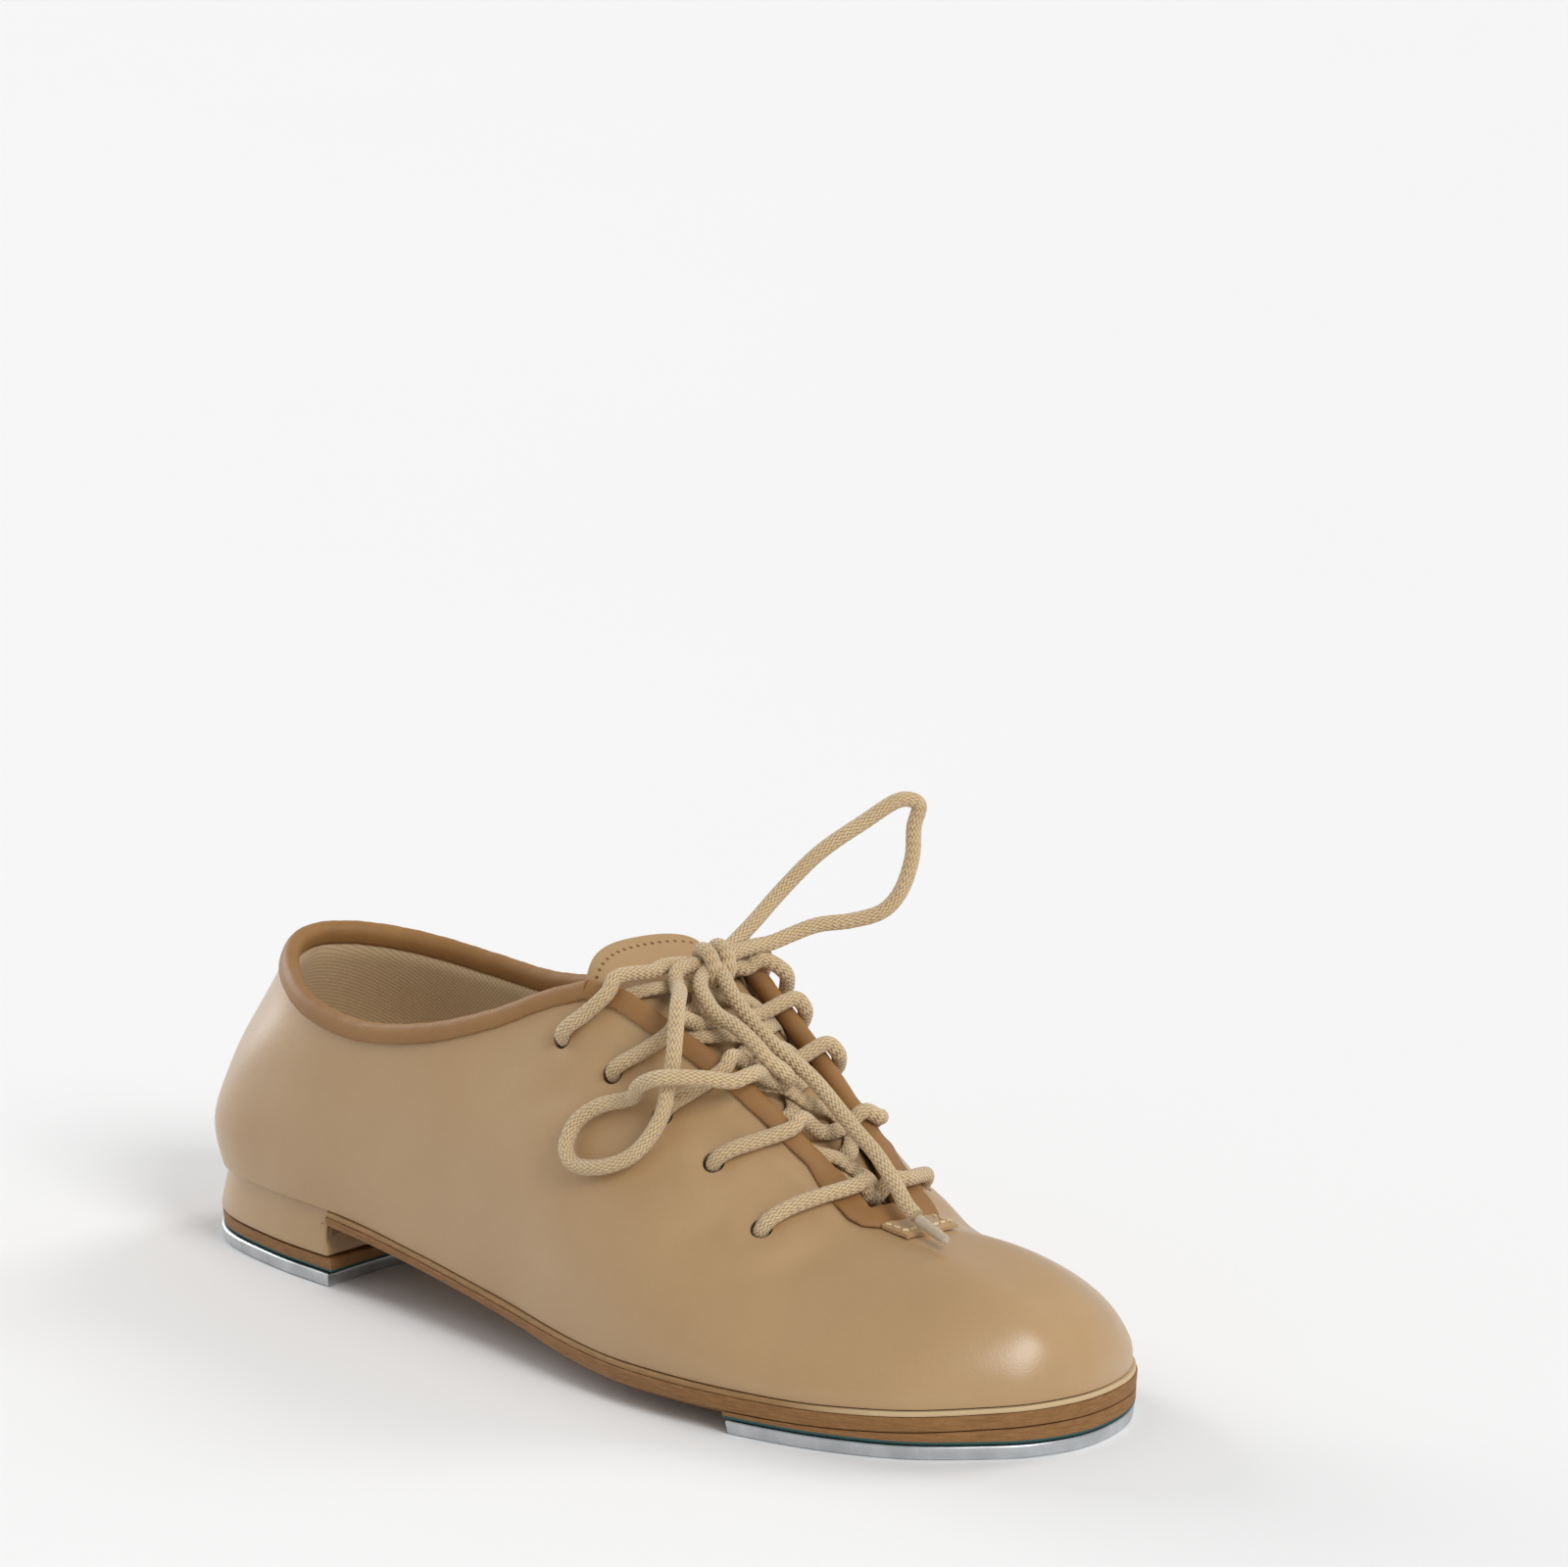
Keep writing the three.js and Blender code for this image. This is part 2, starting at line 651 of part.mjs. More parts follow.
function addInside() {
  const splitFront = HINGE.x + 2.6;
  const splitRear = HINGE.x - 0.4;
  add('forepart_filler', slab({
    rows: rowsFromToe(38, 14), insetTop: 14, top: fillerTop, bottom: fillerBottom,
  }), FOAM);
  add('shank', slabStrip(-96, 14, 6, fillerBottom, shankTop), STEEL);
  add('insole_board_front', slab({
    rows: rowsFromToe(splitFront, INSIDE), insetTop: INSIDE, top: insoleTop, bottom: insoleBottom,
  }), STIFF_BOARD);
  add('insole_board_rear', slab({
    rows: rowsFromHeel(splitRear, INSIDE), insetTop: INSIDE, top: insoleTop, bottom: insoleBottom,
  }), STIFF_BOARD);
  add('sock_liner_front', slab({
    rows: rowsFromToe(splitFront + 1.4, INSIDE + 0.2), insetTop: INSIDE + 0.2,
    top: sockTop, bottom: sockBottom,
  }), LINING_CLOTH);
  add('sock_liner_rear', slab({
    rows: rowsFromHeel(splitRear, INSIDE + 0.2), insetTop: INSIDE + 0.2,
    top: sockTop, bottom: sockBottom,
  }), LINING_CLOTH);
}

// A straight strip along the middle of the sole that follows its height
function slabStrip(fromX, toX, halfWidth, bottom, top) {
  const rows = range(fromX, toX, 10).map((x) => [-halfWidth, halfWidth].map((y) => ({
    front: new THREE.Vector3(x, y, top(x)),
    back: new THREE.Vector3(x, y, bottom(x)),
  })));
  return sheetSolid([rows]);
}
addInside();

// ---------------------------------------------------------------- upper

const WALL_COLUMNS = range(0, 1, 6);
const TOP_COLUMNS = range(1, 2, 3);
const TOE_S = [0, 0.3, 0.6, 1, 1.5, 2, 2.5, 3, 3.5, 4, 4.5, 4.75, 5];
const HEEL_S = [11.25, 12, 12.5, 13, 13.5, 14, 14.4, 14.7, 15];

// Eyelets: five to a side. Each has its x, its distance from the lacing edge, lateral and
// medial, and the x where the lace from it crosses that edge, square to the edge
const EYELETS = [
  { x: 61.5, setbacks: [16.6, 12], edgeX: 68 },
  { x: 46.5, setbacks: [13.8, 10.5], edgeX: 55.3 },
  { x: 32.5, setbacks: [12.9, 11], edgeX: 40.5 },
  { x: 18.5, setbacks: [12.1, 11.5], edgeX: 28.5 },
  { x: 3.5, setbacks: [8.5, 8.5], edgeX: 13.5 },
];
const EYELET_RADIUS = 2.3;

function eyeletPlace(side, { x, setbacks }) {
  const setback = setbacks[SIDES.indexOf(side)];
  const plane = (p) => p.x - x;
  let v = 1;
  let point;
  let s;
  let previous = null;
  let travelled = 0;
  while (travelled < setback && v > 0.3) {
    s = crossing(side, v, plane);
    point = skin(side, s, v);
    if (previous) travelled += point.distanceTo(previous);
    previous = point;
    v -= 0.01;
  }
  return { side, s, v, point, normal: skinNormal(side, s, v) };
}

const eyeletPlaces = SIDES.map((side) => EYELETS.map((e) => eyeletPlace(side, e)));

function eyeletPunch({ point, normal }) {
  const geometry = new THREE.CylinderGeometry(EYELET_RADIUS, EYELET_RADIUS, 12, 8);
  geometry.applyQuaternion(new THREE.Quaternion().setFromUnitVectors(
    new THREE.Vector3(0, 1, 0), normal));
  return geometry.translate(point.x, point.y, point.z);
}

const punches = eyeletPlaces.map((row) => row.map(eyeletPunch));

const frontCut = (side, shift) => (v) => crossing(side, v, frontPlane(shift));
const rearCut = (side, shift) => (v) => crossing(side, v, rearPlane(shift));

// Toe and vamp, with the front ends of both facings
function foreparts(depth, thickness, shift) {
  const patches = SIDES.flatMap((side) => [
    { side, rows: TOE_S, columns: WALL_COLUMNS },
    { side, rows: TOE_S, columns: TOP_COLUMNS },
    { side, rows: rowsBetween(THROAT, frontCut(side, shift), 3), columns: WALL_COLUMNS },
  ]);
  return wall(patches, depth, thickness);
}

function bendPart(side, depth, thickness) {
  const rows = rowsBetween(frontCut(side, -GAP), rearCut(side, GAP), 4);
  return wall([{ side, rows, columns: WALL_COLUMNS }], depth, thickness);
}

function rearPart(side, depth, thickness, seam) {
  const heel = HEEL_S.map((s) => Math.min(s, HEEL_BACK - seam));
  const rows = [...rowsBetween(rearCut(side, 0), heel[0], 8), ...heel.slice(1)];
  return wall([{ side, rows, columns: WALL_COLUMNS }], depth, thickness);
}

const SEAM = 0.02;                  // half the gap of the back seam, in stations

function addUpper() {
  const sideNames = ['lateral', 'medial'];
  add('vamp', cut(foreparts(0, LEATHER, 0), punches.flat()), TAN_LEATHER);
  add('vamp_lining', cut(foreparts(LINING_DEPTH, LINING, 0), punches.flat()), LINING_CLOTH);
  SIDES.forEach((side, i) => {
    const name = sideNames[i];
    add(`bend_leather_${name}`, cut(bendPart(side, 0, LEATHER), punches[i]), TAN_LEATHER);
    add(`bend_lining_${name}`, cut(bendPart(side, LINING_DEPTH, LINING), punches[i]), LINING_CLOTH);
    add(`quarter_${name}`, cut(rearPart(side, 0, LEATHER, SEAM), punches[i]), TAN_LEATHER);
    add(`quarter_lining_${name}`,
      cut(rearPart(side, LINING_DEPTH, LINING, SEAM), punches[i]), LINING_CLOTH);
    const tape = wall([{
      side, rows: rowsBetween(THROAT + 0.1, CORNER + 0.2, 8), columns: range(0.7, 0.98, 2),
    }], STIFFENER_DEPTH + SLACK, STIFFENER - 2 * SLACK);
    add(`eyestay_tape_${name}`, cut(tape, punches[i]), STIFF_BOARD);
  });
  add('toe_puff', wall(SIDES.flatMap((side) => [
    { side, rows: TOE_S.slice(0, 8), columns: WALL_COLUMNS },
    { side, rows: TOE_S.slice(0, 8), columns: TOP_COLUMNS },
  ]), STIFFENER_DEPTH, STIFFENER), STIFF_BOARD);
  add('heel_counter', wall(SIDES.map((side) => (
    { side, rows: HEEL_S, columns: WALL_COLUMNS.slice(0, 5) }
  )), STIFFENER_DEPTH, STIFFENER), STIFF_BOARD);
  add('collar_foam', wall(SIDES.map((side) => (
    { side, rows: [9.6, 10.4, ...HEEL_S], columns: [0.72, 5 / 6, 0.97] }
  )), STIFFENER_DEPTH + SLACK, STIFFENER - 2 * SLACK), FOAM);
}
addUpper();

// ---------------------------------------------------------------- tongue

const TONGUE_COLUMNS = [WALL_COLUMNS.slice(4), TOP_COLUMNS];

function tonguePart(first, last, count, depth, thickness) {
  const patches = SIDES.flatMap((side) => TONGUE_COLUMNS.map((columns) => (
    { side, rows: rowsBetween(first(side), last(side), count), columns }
  )));
  return wall(patches, depth, thickness);
}

function addTongue() {
  const root = () => THROAT - 0.4;
  const top = () => CORNER + 0.05;
  const lowerEnd = (side) => rearCut(side, GAP);
  const upperStart = (side) => rearCut(side, 0);
  add('tongue_lower', tonguePart(root, lowerEnd, 9, TONGUE_DEPTH, TONGUE_LEATHER), TAN_LEATHER);
  add('tongue', tonguePart(upperStart, top, 3, TONGUE_DEPTH, TONGUE_LEATHER), TAN_LEATHER);
  add('tongue_lining_lower',
    tonguePart(root, lowerEnd, 9, TONGUE_LINING_DEPTH, LINING), LINING_CLOTH);
  add('tongue_lining',
    tonguePart(upperStart, top, 3, TONGUE_LINING_DEPTH, LINING), LINING_CLOTH);
}
addTongue();

// ---------------------------------------------------------------- bindings and throat tab

const BEAD = 1.7;
const BEAD_RISE = BEAD + GAP + 0.5;
const TAB_LIFT = GAP + 0.1;
const TAB_LEATHER = 0.9;

function edgePoint(side, s) {
  const up = slopeUp(side, s, 1).normalize();
  return layer(side, s, 1, LEATHER / 2).addScaledVector(up, BEAD_RISE);
}

function throatPoint(side, v) {
  const back = slopeAlong(side, THROAT, v).normalize();
  return layer(side, THROAT, v, LEATHER / 2).addScaledVector(back, BEAD_RISE);
}

function addBindings() {
  const up = range(CORNER, THROAT + 0.5, 7);
  const lacing = [
    ...up.map((s) => edgePoint(LATERAL, s)),
    ...[1.3, 1.7].map((v) => throatPoint(LATERAL, v)),
    ...[1.7, 1.3].map((v) => throatPoint(MEDIAL, v)),
    ...up.reverse().map((s) => edgePoint(MEDIAL, s)),
  ];
  add('lacing_edge_binding', tube(lacing, BEAD, 36), BINDING);
  const round = [9.12, 9.6, 10.3, 11, 12, 13, 13.7, 14.3];
  const topline = [
    ...round.map((s) => edgePoint(LATERAL, s)),
    edgePoint(LATERAL, HEEL_BACK),
    ...round.slice().reverse().map((s) => edgePoint(MEDIAL, s)),
  ];
  add('topline_binding', tube(topline, BEAD, 40), BINDING);
  add('throat_tab', wall(SIDES.map((side) => (
    { side, rows: [4.5, 4.65, 4.75], columns: TOP_COLUMNS }
  )), -TAB_LIFT - TAB_LEATHER, TAB_LEATHER), TAN_LEATHER);
}
addBindings();

// ---------------------------------------------------------------- laces

const LACE_LIFT = LACE_RADIUS + GAP;
const OVER_BEAD = BEAD + LACE_LIFT + 0.4;
const SHOULDER = 0.78 * OVER_BEAD;

// From an eyelet up the facing, over its bound edge and down its inner side
function laceFromEyelet(side, place, edgeX) {
  const s = crossing(side, 1, (p) => p.x - edgeX);
  const middle = (s + place.s) / 2;
  const out = skinNormal(side, s, 1);
  const inward = slopeUp(side, s, 1).normalize();
  return [
    layer(side, place.s, place.v, -LACE_LIFT),
    layer(side, middle, (place.v + 1) / 2, -LACE_LIFT - 1.1),
    edgePoint(side, s).addScaledVector(out, OVER_BEAD),
    edgePoint(side, s).addScaledVector(out, SHOULDER).addScaledVector(inward, SHOULDER),
  ];
}

function overTongue(side, edgeX, v, lift) {
  const s = crossing(side, 1, (p) => p.x - edgeX);
  return layer(side, s, v, TONGUE_DEPTH - LACE_LIFT - lift);
}

function laceRow(index) {
  const { edgeX } = EYELETS[index];
  const [lateral, medial] = eyeletPlaces.map((row) => row[index]);
  const spots = [[2], [2], [1.75, 2], [1.6, 2]][index];
  const lift = index === 0 ? 1 : 0.3;
  return tube([
    ...laceFromEyelet(LATERAL, lateral, edgeX),
    ...spots.map((v) => overTongue(LATERAL, edgeX, v, lift)),
    overTongue(MEDIAL, edgeX, 1.6, 0.3),
    ...laceFromEyelet(MEDIAL, medial, edgeX).reverse(),
  ], LACE_RADIUS, 14);
}

for (let i = 0; i < 4; i++) add(`lace_row_${i + 1}`, laceRow(i), LACE_COTTON);

// The fifth row runs into the bow's knot from both sides
function topRow(side, place, knotPoints) {
  return tube([
    ...laceFromEyelet(side, place, EYELETS[4].edgeX),
    ...knotPoints.map(vec),
  ], LACE_RADIUS, 7);
}

add('lace_row_5_lateral',
  topRow(LATERAL, eyeletPlaces[0][4], [[14.4, -9.6, 79.2], [13.2, -6, 79.4]]), LACE_COTTON);
add('lace_row_5_medial',
  topRow(MEDIAL, eyeletPlaces[1][4], [[14.5, 13.2, 79.8]]), LACE_COTTON);

// The bow: a knot over the tongue, a loop to each side and two free ends
const KNOT = { centre: [17.6, 3.6, 79.2], radii: [5.5, 6.5, 4] };
const LATERAL_LOOP = [
  [17.8, -6.6, 78.8],
  [20.8, -9, 77],
  [26.6, -13.4, 77.8],
  [33.4, -19.9, 76.7],
  [36.8, -23.5, 71.8],
  [37.8, -25, 67],
  [38, -26.4, 62.6],
  [37.2, -28, 55.6],
  [33.2, -31.6, 48.3],
  [27.2, -34.8, 45.1],
  [19.8, -35.9, 44.6],
  [16.7, -35.2, 47],
  [16.8, -32.9, 51.7],
  [21, -30.3, 55.7],
  [27.8, -27.2, 58.3],
  [32.7, -29.6, 62],
  [38.8, -29.8, 64.9],
  [44.7, -23.6, 65],
  [47.9, -17.8, 64],
  [48.2, -14, 64.6],
  [47, -10.2, 64.3],
  [45.4, -6.4, 62],
  [45.8, -3.6, 60.9],
  [47.6, -2.7, 61.6],
  [48.4, -4.4, 63.6],
  [46.6, -7, 66.2],
  [42.5, -7.6, 69.2],
  [37.8, -8, 71.6],
  [31.1, -7.8, 73.4],
  [24.4, -5.6, 76.5],
];
const MEDIAL_LOOP = [
  [15.8, 13.4, 83.8],
  [16, 17, 86.4],
  [16.8, 23, 91.5],
  [19.5, 31, 98.7],
  [23.9, 39, 104.6],
  [28, 46.5, 109.2],
  [29.6, 49.5, 108],
  [28.8, 49, 103.2],
  [29.9, 47.5, 97.1],
  [30, 44, 90.2],
  [28.6, 40.5, 86.6],
  [25, 35, 84.8],
  [21.4, 29, 84.2],
  [19.4, 23, 82.6],
  [18.8, 18.5, 81.6],
  [18.2, 12.4, 81.4],
];
const FRONT_END = [
  [25.2, 0.6, 77],
  [28.5, -0.6, 75.2],
  [34.8, -1.4, 71.4],
  [43.2, -0.6, 66.2],
  [47.5, 0.6, 63.8],
  [51.5, 1.2, 61.4],
  [63.5, 0.8, 54],
  [70, 0.8, 50],
  [76, 0.4, 45.2],
  [80.2, -0.5, 42],
  [83.6, -0.9, 40.3],
];
const SIDE_END = [
  [17.6, 12.8, 77],
  [18.8, 15.8, 78.5],
  [20.6, 20.4, 75.6],
  [16.5, 24.8, 70.5],
  [11.5, 27.4, 65.5],
  [9.8, 29.3, 59],
  [9.6, 31.3, 52],
  [9.6, 33.2, 45.5],
];
const AGLET_RADIUS = 1.4;
const AGLETS = {
  aglet_front: [[84.3, -1, 39.8], [94, -2, 37.4]],
  aglet_side: [[9.6, 33.3, 45.1], [9.5, 34.9, 34]],
};

function addBow() {
  const knot = new THREE.SphereGeometry(1, 12, 8).scale(...KNOT.radii);
  add('lace_knot', knot, LACE_COTTON).position.set(...KNOT.centre);
  const strands = {
    lace_loop_lateral: [LATERAL_LOOP, 32],
    lace_loop_medial: [MEDIAL_LOOP, 15],
    lace_end_front: [FRONT_END, 9],
    lace_end_side: [SIDE_END, 8],
  };
  for (const [name, [points, steps]] of Object.entries(strands)) {
    add(name, tube(points.map(vec), LACE_RADIUS, steps), LACE_COTTON);
  }
  for (const [name, points] of Object.entries(AGLETS)) {
    add(name, tube(points.map(vec), AGLET_RADIUS, 1), AGLET_CLEAR);
  }
}

// The shoe's own box is centred over the origin before the free lace is tied on
const box = new THREE.Box3().setFromObject(shoe);
shoe.position.set(-(box.min.x + box.max.x) / 2, -(box.min.y + box.max.y) / 2, -box.min.z);
addBow();

export default shoe;
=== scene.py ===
"""Looks of the tap shoe, built round its CAD frame. Lengths in the functions are millimetres,
in the frame of the shoe: +X to the toe, +Y to the big-toe side, +Z up."""

import math
from collections import Counter

import bmesh
import bpy
import numpy as np
from mathutils import Matrix, Vector


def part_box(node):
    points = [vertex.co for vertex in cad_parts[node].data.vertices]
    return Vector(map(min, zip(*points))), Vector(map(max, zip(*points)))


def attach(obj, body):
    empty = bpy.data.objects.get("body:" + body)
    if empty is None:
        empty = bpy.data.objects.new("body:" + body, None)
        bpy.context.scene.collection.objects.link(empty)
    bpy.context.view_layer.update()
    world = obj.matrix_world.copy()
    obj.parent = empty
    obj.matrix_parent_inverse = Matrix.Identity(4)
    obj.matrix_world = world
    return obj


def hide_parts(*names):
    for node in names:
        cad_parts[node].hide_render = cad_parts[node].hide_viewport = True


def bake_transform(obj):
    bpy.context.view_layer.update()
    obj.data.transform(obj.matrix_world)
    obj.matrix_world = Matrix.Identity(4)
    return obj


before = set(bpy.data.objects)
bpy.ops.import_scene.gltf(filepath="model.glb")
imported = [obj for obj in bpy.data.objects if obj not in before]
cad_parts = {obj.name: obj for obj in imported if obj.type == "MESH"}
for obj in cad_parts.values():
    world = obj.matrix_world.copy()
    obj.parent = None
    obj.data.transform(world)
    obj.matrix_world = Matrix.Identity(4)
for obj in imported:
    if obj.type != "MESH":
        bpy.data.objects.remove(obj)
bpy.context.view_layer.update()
MM = 0.001

# The CAD group is moved a little when it is centred, which its first toe screw shows
FIRST_SCREW = (112, 6, 0)
low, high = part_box("toe_tap_screw_1")
SHIFT = np.array([(low.x + high.x) / 2 / MM, (low.y + high.y) / 2 / MM, 0]) - FIRST_SCREW

# ------------------------------------------------------------------ camera, light and floor

CAMERA_AZIMUTH = 47.5  # degrees from the shoe's side view towards its toe
CAMERA_ELEVATION = 16.5
CAMERA_ROLL = 0.3
CAMERA_DISTANCE = 1600
FRAME_PIXELS = 1600
PIXELS_PER_MM = 5.037  # at the ball of the shoe
AIM = (60, 0, 0)
AIM_RIGHT = 57  # pixels from the middle of the frame to the aim point
AIM_DOWN = 613.5
SENSOR_WIDTH = 36
CLIP_END = 20  # metres

# Name, where it shines from, strength, spread in degrees, and whether gloss shows it
LAMPS = [
    ("toe_lamp", (0.88, -0.14, 0.62), 1.5, 24, True),
    ("back_lamp", (0.05, 0.77, 0.64), 0.75, 24, False),
    ("heel_lamp", (-0.95, -0.02, 0.32), 1.35, 30, True),
]
TENT_STRENGTH = 0.52
FLOOR_SIZE = 16
FLOOR_COLOUR = (0.86, 0.86, 0.86)
FLOOR_ROUGHNESS = 0.9


def add_camera():
    a, e = math.radians(CAMERA_AZIMUTH), math.radians(CAMERA_ELEVATION)
    back = Vector((math.sin(a) * math.cos(e), -math.cos(a) * math.cos(e), math.sin(e)))
    data = bpy.data.cameras.new("camera")
    data.sensor_fit = "HORIZONTAL"
    data.sensor_width = SENSOR_WIDTH
    focal = PIXELS_PER_MM * CAMERA_DISTANCE
    data.lens = focal / FRAME_PIXELS * SENSOR_WIDTH
    data.clip_end = CLIP_END
    camera = bpy.data.objects.new("camera", data)
    place = (Vector(AIM) + back * CAMERA_DISTANCE) * MM
    camera.matrix_world = (
        Matrix.Translation(place)
        @ back.to_track_quat("Z", "Y").to_matrix().to_4x4()
        @ Matrix.Rotation(math.radians(CAMERA_ROLL), 4, "Z")
        @ Matrix.Rotation(math.atan(AIM_RIGHT / focal), 4, "Y")
        @ Matrix.Rotation(math.atan(AIM_DOWN / focal), 4, "X")
    )
    bpy.context.scene.collection.objects.link(camera)
    bpy.context.scene.camera = camera


def add_lamp(name, from_place, strength, spread, in_gloss):
    data = bpy.data.lights.new(name, "SUN")
    data.energy = strength
    data.angle = math.radians(spread)
    light = bpy.data.objects.new(name, data)
    light.rotation_euler = Vector(from_place).to_track_quat("Z", "Y").to_euler()
    light.visible_glossy = in_gloss
    bpy.context.scene.collection.objects.link(light)


def add_studio():
    """A bright tent with soft lamps before the toe, behind the shoe and at its heel."""
    for lamp in LAMPS:
        add_lamp(*lamp)
    world = bpy.data.worlds.new("studio")
    world.use_nodes = True
    back = world.node_tree.nodes["Background"]
    back.inputs["Color"].default_value = (1, 1, 1, 1)
    back.inputs["Strength"].default_value = TENT_STRENGTH
    bpy.context.scene.world = world
    bpy.context.scene.view_settings.view_transform = "Standard"
    bpy.ops.mesh.primitive_plane_add(size=FLOOR_SIZE)
    floor = bpy.context.object
    floor.name = "floor"
    floor.data.materials.append(plain("floor", FLOOR_COLOUR, FLOOR_ROUGHNESS))


# ------------------------------------------------------------------ the foot form

GAP = 0.3
TAP_THICKNESS = 3
FORE_SEAT = 9
HEEL_SEAT = 16.5
TOE_SPRING = 2
MIDSOLE = 0.8
OUTSOLE_FORE = 3
OUTSOLE_WAIST = 1.7
LEATHER = 1.2
STIFFENER = 0.8
LINING = 0.6
UPPER_INSET = 1
LACE_RADIUS = 1.6  # a little under its CAD solid, as the cotton packs down
STIFFENER_DEPTH = LEATHER + GAP
LINING_DEPTH = STIFFENER_DEPTH + STIFFENER + GAP
TONGUE_DEPTH = LINING_DEPTH + LINING + 1
TONGUE_LEATHER = 1.2
TONGUE_LINING_DEPTH = TONGUE_DEPTH + TONGUE_LEATHER + GAP
SLACK = 0.22
WAIST_START, WAIST_LENGTH = 45, 120
SPRING_START, SPRING_LENGTH = 75, 50

# Tables run over stations, from the toe tip (0) round to the back of the heel (15).
# Outline of the sole: x, and y of the lateral and the medial side
OUTLINE = [
    (125, 6, 6), (122.5, -6, 18), (117, -14.5, 28), (107, -25.5, 37), (92, -34, 42.5),
    (76, -39, 43.5), (60, -42, 42.5), (42, -43, 39.5), (24, -41.5, 34.5), (4, -38.5, 29.5),
    (-24, -35.5, 26.5), (-56, -33, 27.5), (-85, -31.5, 29.5), (-108, -26, 26),
    (-121, -14, 14), (-125, 0, 0),
]
# The middle line over the toe and up the lacing, from station 1
RIDGE = [
    (122.5, 5.8, 20), (117, 5, 27), (107, 4.5, 32), (92, 3.5, 35.3), (75, 1, 38.3),
    (62, 0, 48.5), (44, -0.5, 62), (26, -1, 73), (6, -1.5, 82.5),
]
THROAT = 5
CORNER = 9
HEEL_BACK = 15
# Top edge of each side from the throat: up the lacing to the corner, then round the topline
LATERAL_EDGE = [
    (74, -4.5, 38.1), (61, -8.5, 47.4), (44, -13, 59.7), (26, -17.5, 68.9), (8, -21, 74.5),
    (-18, -26, 64.5), (-50, -29, 55.5), (-77, -27, 56.5), (-94, -19.5, 60.5),
    (-104.5, -9.5, 63), (-108, 0, 63.5),
]
MEDIAL_EDGE = [
    (74, 9, 37.2), (61, 12, 46), (44, 14.5, 58), (26, 17, 68), (8, 20, 75.5),
    (-18, 25, 66.5), (-50, 27, 57.5), (-77, 25.5, 58), (-94, 19, 61),
    (-104.5, 9.5, 63), (-108, 0, 63.5),
]
# At each station: outward pull and drop at the top edge, bulge low down, and the turn
# of the outward direction round the heel in degrees
FULLNESS = [
    (0, 0, 0, 0), (0, 0, 0.5, 0), (0, 0, 1, 0), (0, 0, 1.2, 0), (0, 0, 1.5, 0),
    (12, 2.5, 2, 0), (10, 7, 2, 0), (9, 12, 2, 0), (8, 16, 1.5, 0), (7, 18, 1.5, 0),
    (5, 16, 0.5, 0), (2.5, 12, 1, 0), (3, 12, 2.5, 12), (5, 13, 3.5, 42), (7, 15, 3.5, 68),
    (7.5, 17, 3.5, 90),
]
LOW_HANDLE = 0.45
TOE_EDGE_SHARE = [0, 0.5, 0.55, 0.6, 0.68]
ARCH_POWER = 2.4
EDGE_PULL, EDGE_DROP = 0.5, 0.25  # what the toe adds at its edge, by its width and height
CROWN_HANDLE = 0.4
HEEL_TURN = 112  # the turn one station past the last
TIP = 0.01  # stations this near the toe tip or the heel are on the middle line


def smooth(t):
    t = np.clip(t, 0, 1)
    return t * t * (3 - 2 * t)


def length(v):
    return np.linalg.norm(v, axis=-1, keepdims=True)


def unit(v):
    return v / np.maximum(length(v), 1e-9)


def seat(x):
    """Height of the sole's upper side, under the edge of the upper."""
    rise = smooth((WAIST_START - x) / WAIST_LENGTH)
    spring = np.clip((x - SPRING_START) / SPRING_LENGTH, 0, 1) ** 2
    return FORE_SEAT + (HEEL_SEAT - FORE_SEAT) * rise + TOE_SPRING * spring


def above_seat(rise):
    return lambda x: seat(x) + rise


def hermite(p1, p2, m1, m2, t):
    return (
        p1
        + m1 * t
        + (3 * (p2 - p1) - 2 * m1 - m2) * t**2
        + (2 * (p1 - p2) + m1 + m2) * t**3
    )


CLOSE = 1e-4  # knots nearer than this count as one


def through(knots, place, even=False):
    """Points of the Catmull-Rom curve through knots, at each place counted in knots."""
    place = np.atleast_1d(np.asarray(place, float))
    i = np.clip(place.astype(int), 1, len(knots) - 3)
    t = (place - i)[:, None]
    p0, p1, p2, p3 = knots[i - 1], knots[i], knots[i + 1], knots[i + 2]
    if even:
        return hermite(p1, p2, (p2 - p0) / 2, (p3 - p1) / 2, t)
    d0, d1, d2 = (np.sqrt(length(b - a)) for a, b in ((p0, p1), (p1, p2), (p2, p3)))
    d1 = np.where(d1 < CLOSE, 1, d1)
    d0 = np.where(d0 < CLOSE, d1, d0)
    d2 = np.where(d2 < CLOSE, d1, d2)
    m1 = ((p1 - p0) / d0 - (p2 - p0) / (d0 + d1) + (p2 - p1) / d1) * d1
    m2 = ((p2 - p1) / d1 - (p3 - p1) / (d1 + d2) + (p3 - p2) / d2) * d1
    return hermite(p1, p2, m1, m2, t)


def station_curve(points, lead, trail, even=False):
    knots = np.array([lead, *points, trail], float)
    return lambda s: through(knots, 1 + np.asarray(s, float), even)


fullness = station_curve([f[:3] for f in FULLNESS], FULLNESS[0][:3], FULLNESS[-1][:3], True)
turning = station_curve([(f[3],) for f in FULLNESS], (0,), (HEEL_TURN,), True)
TOE_TIP = np.array([OUTLINE[0][0] - UPPER_INSET, OUTLINE[0][1], 0.0])
TOE_TIP[2] = seat(TOE_TIP[0]) + GAP
BELOW_TIP = (RIDGE[0][0], RIDGE[0][1], 2 * TOE_TIP[2] - RIDGE[0][2])
BEYOND = 2 * np.array(RIDGE[-1]) - np.array(RIDGE[-2])
ridge = station_curve([TOE_TIP, *RIDGE], BELOW_TIP, BEYOND)


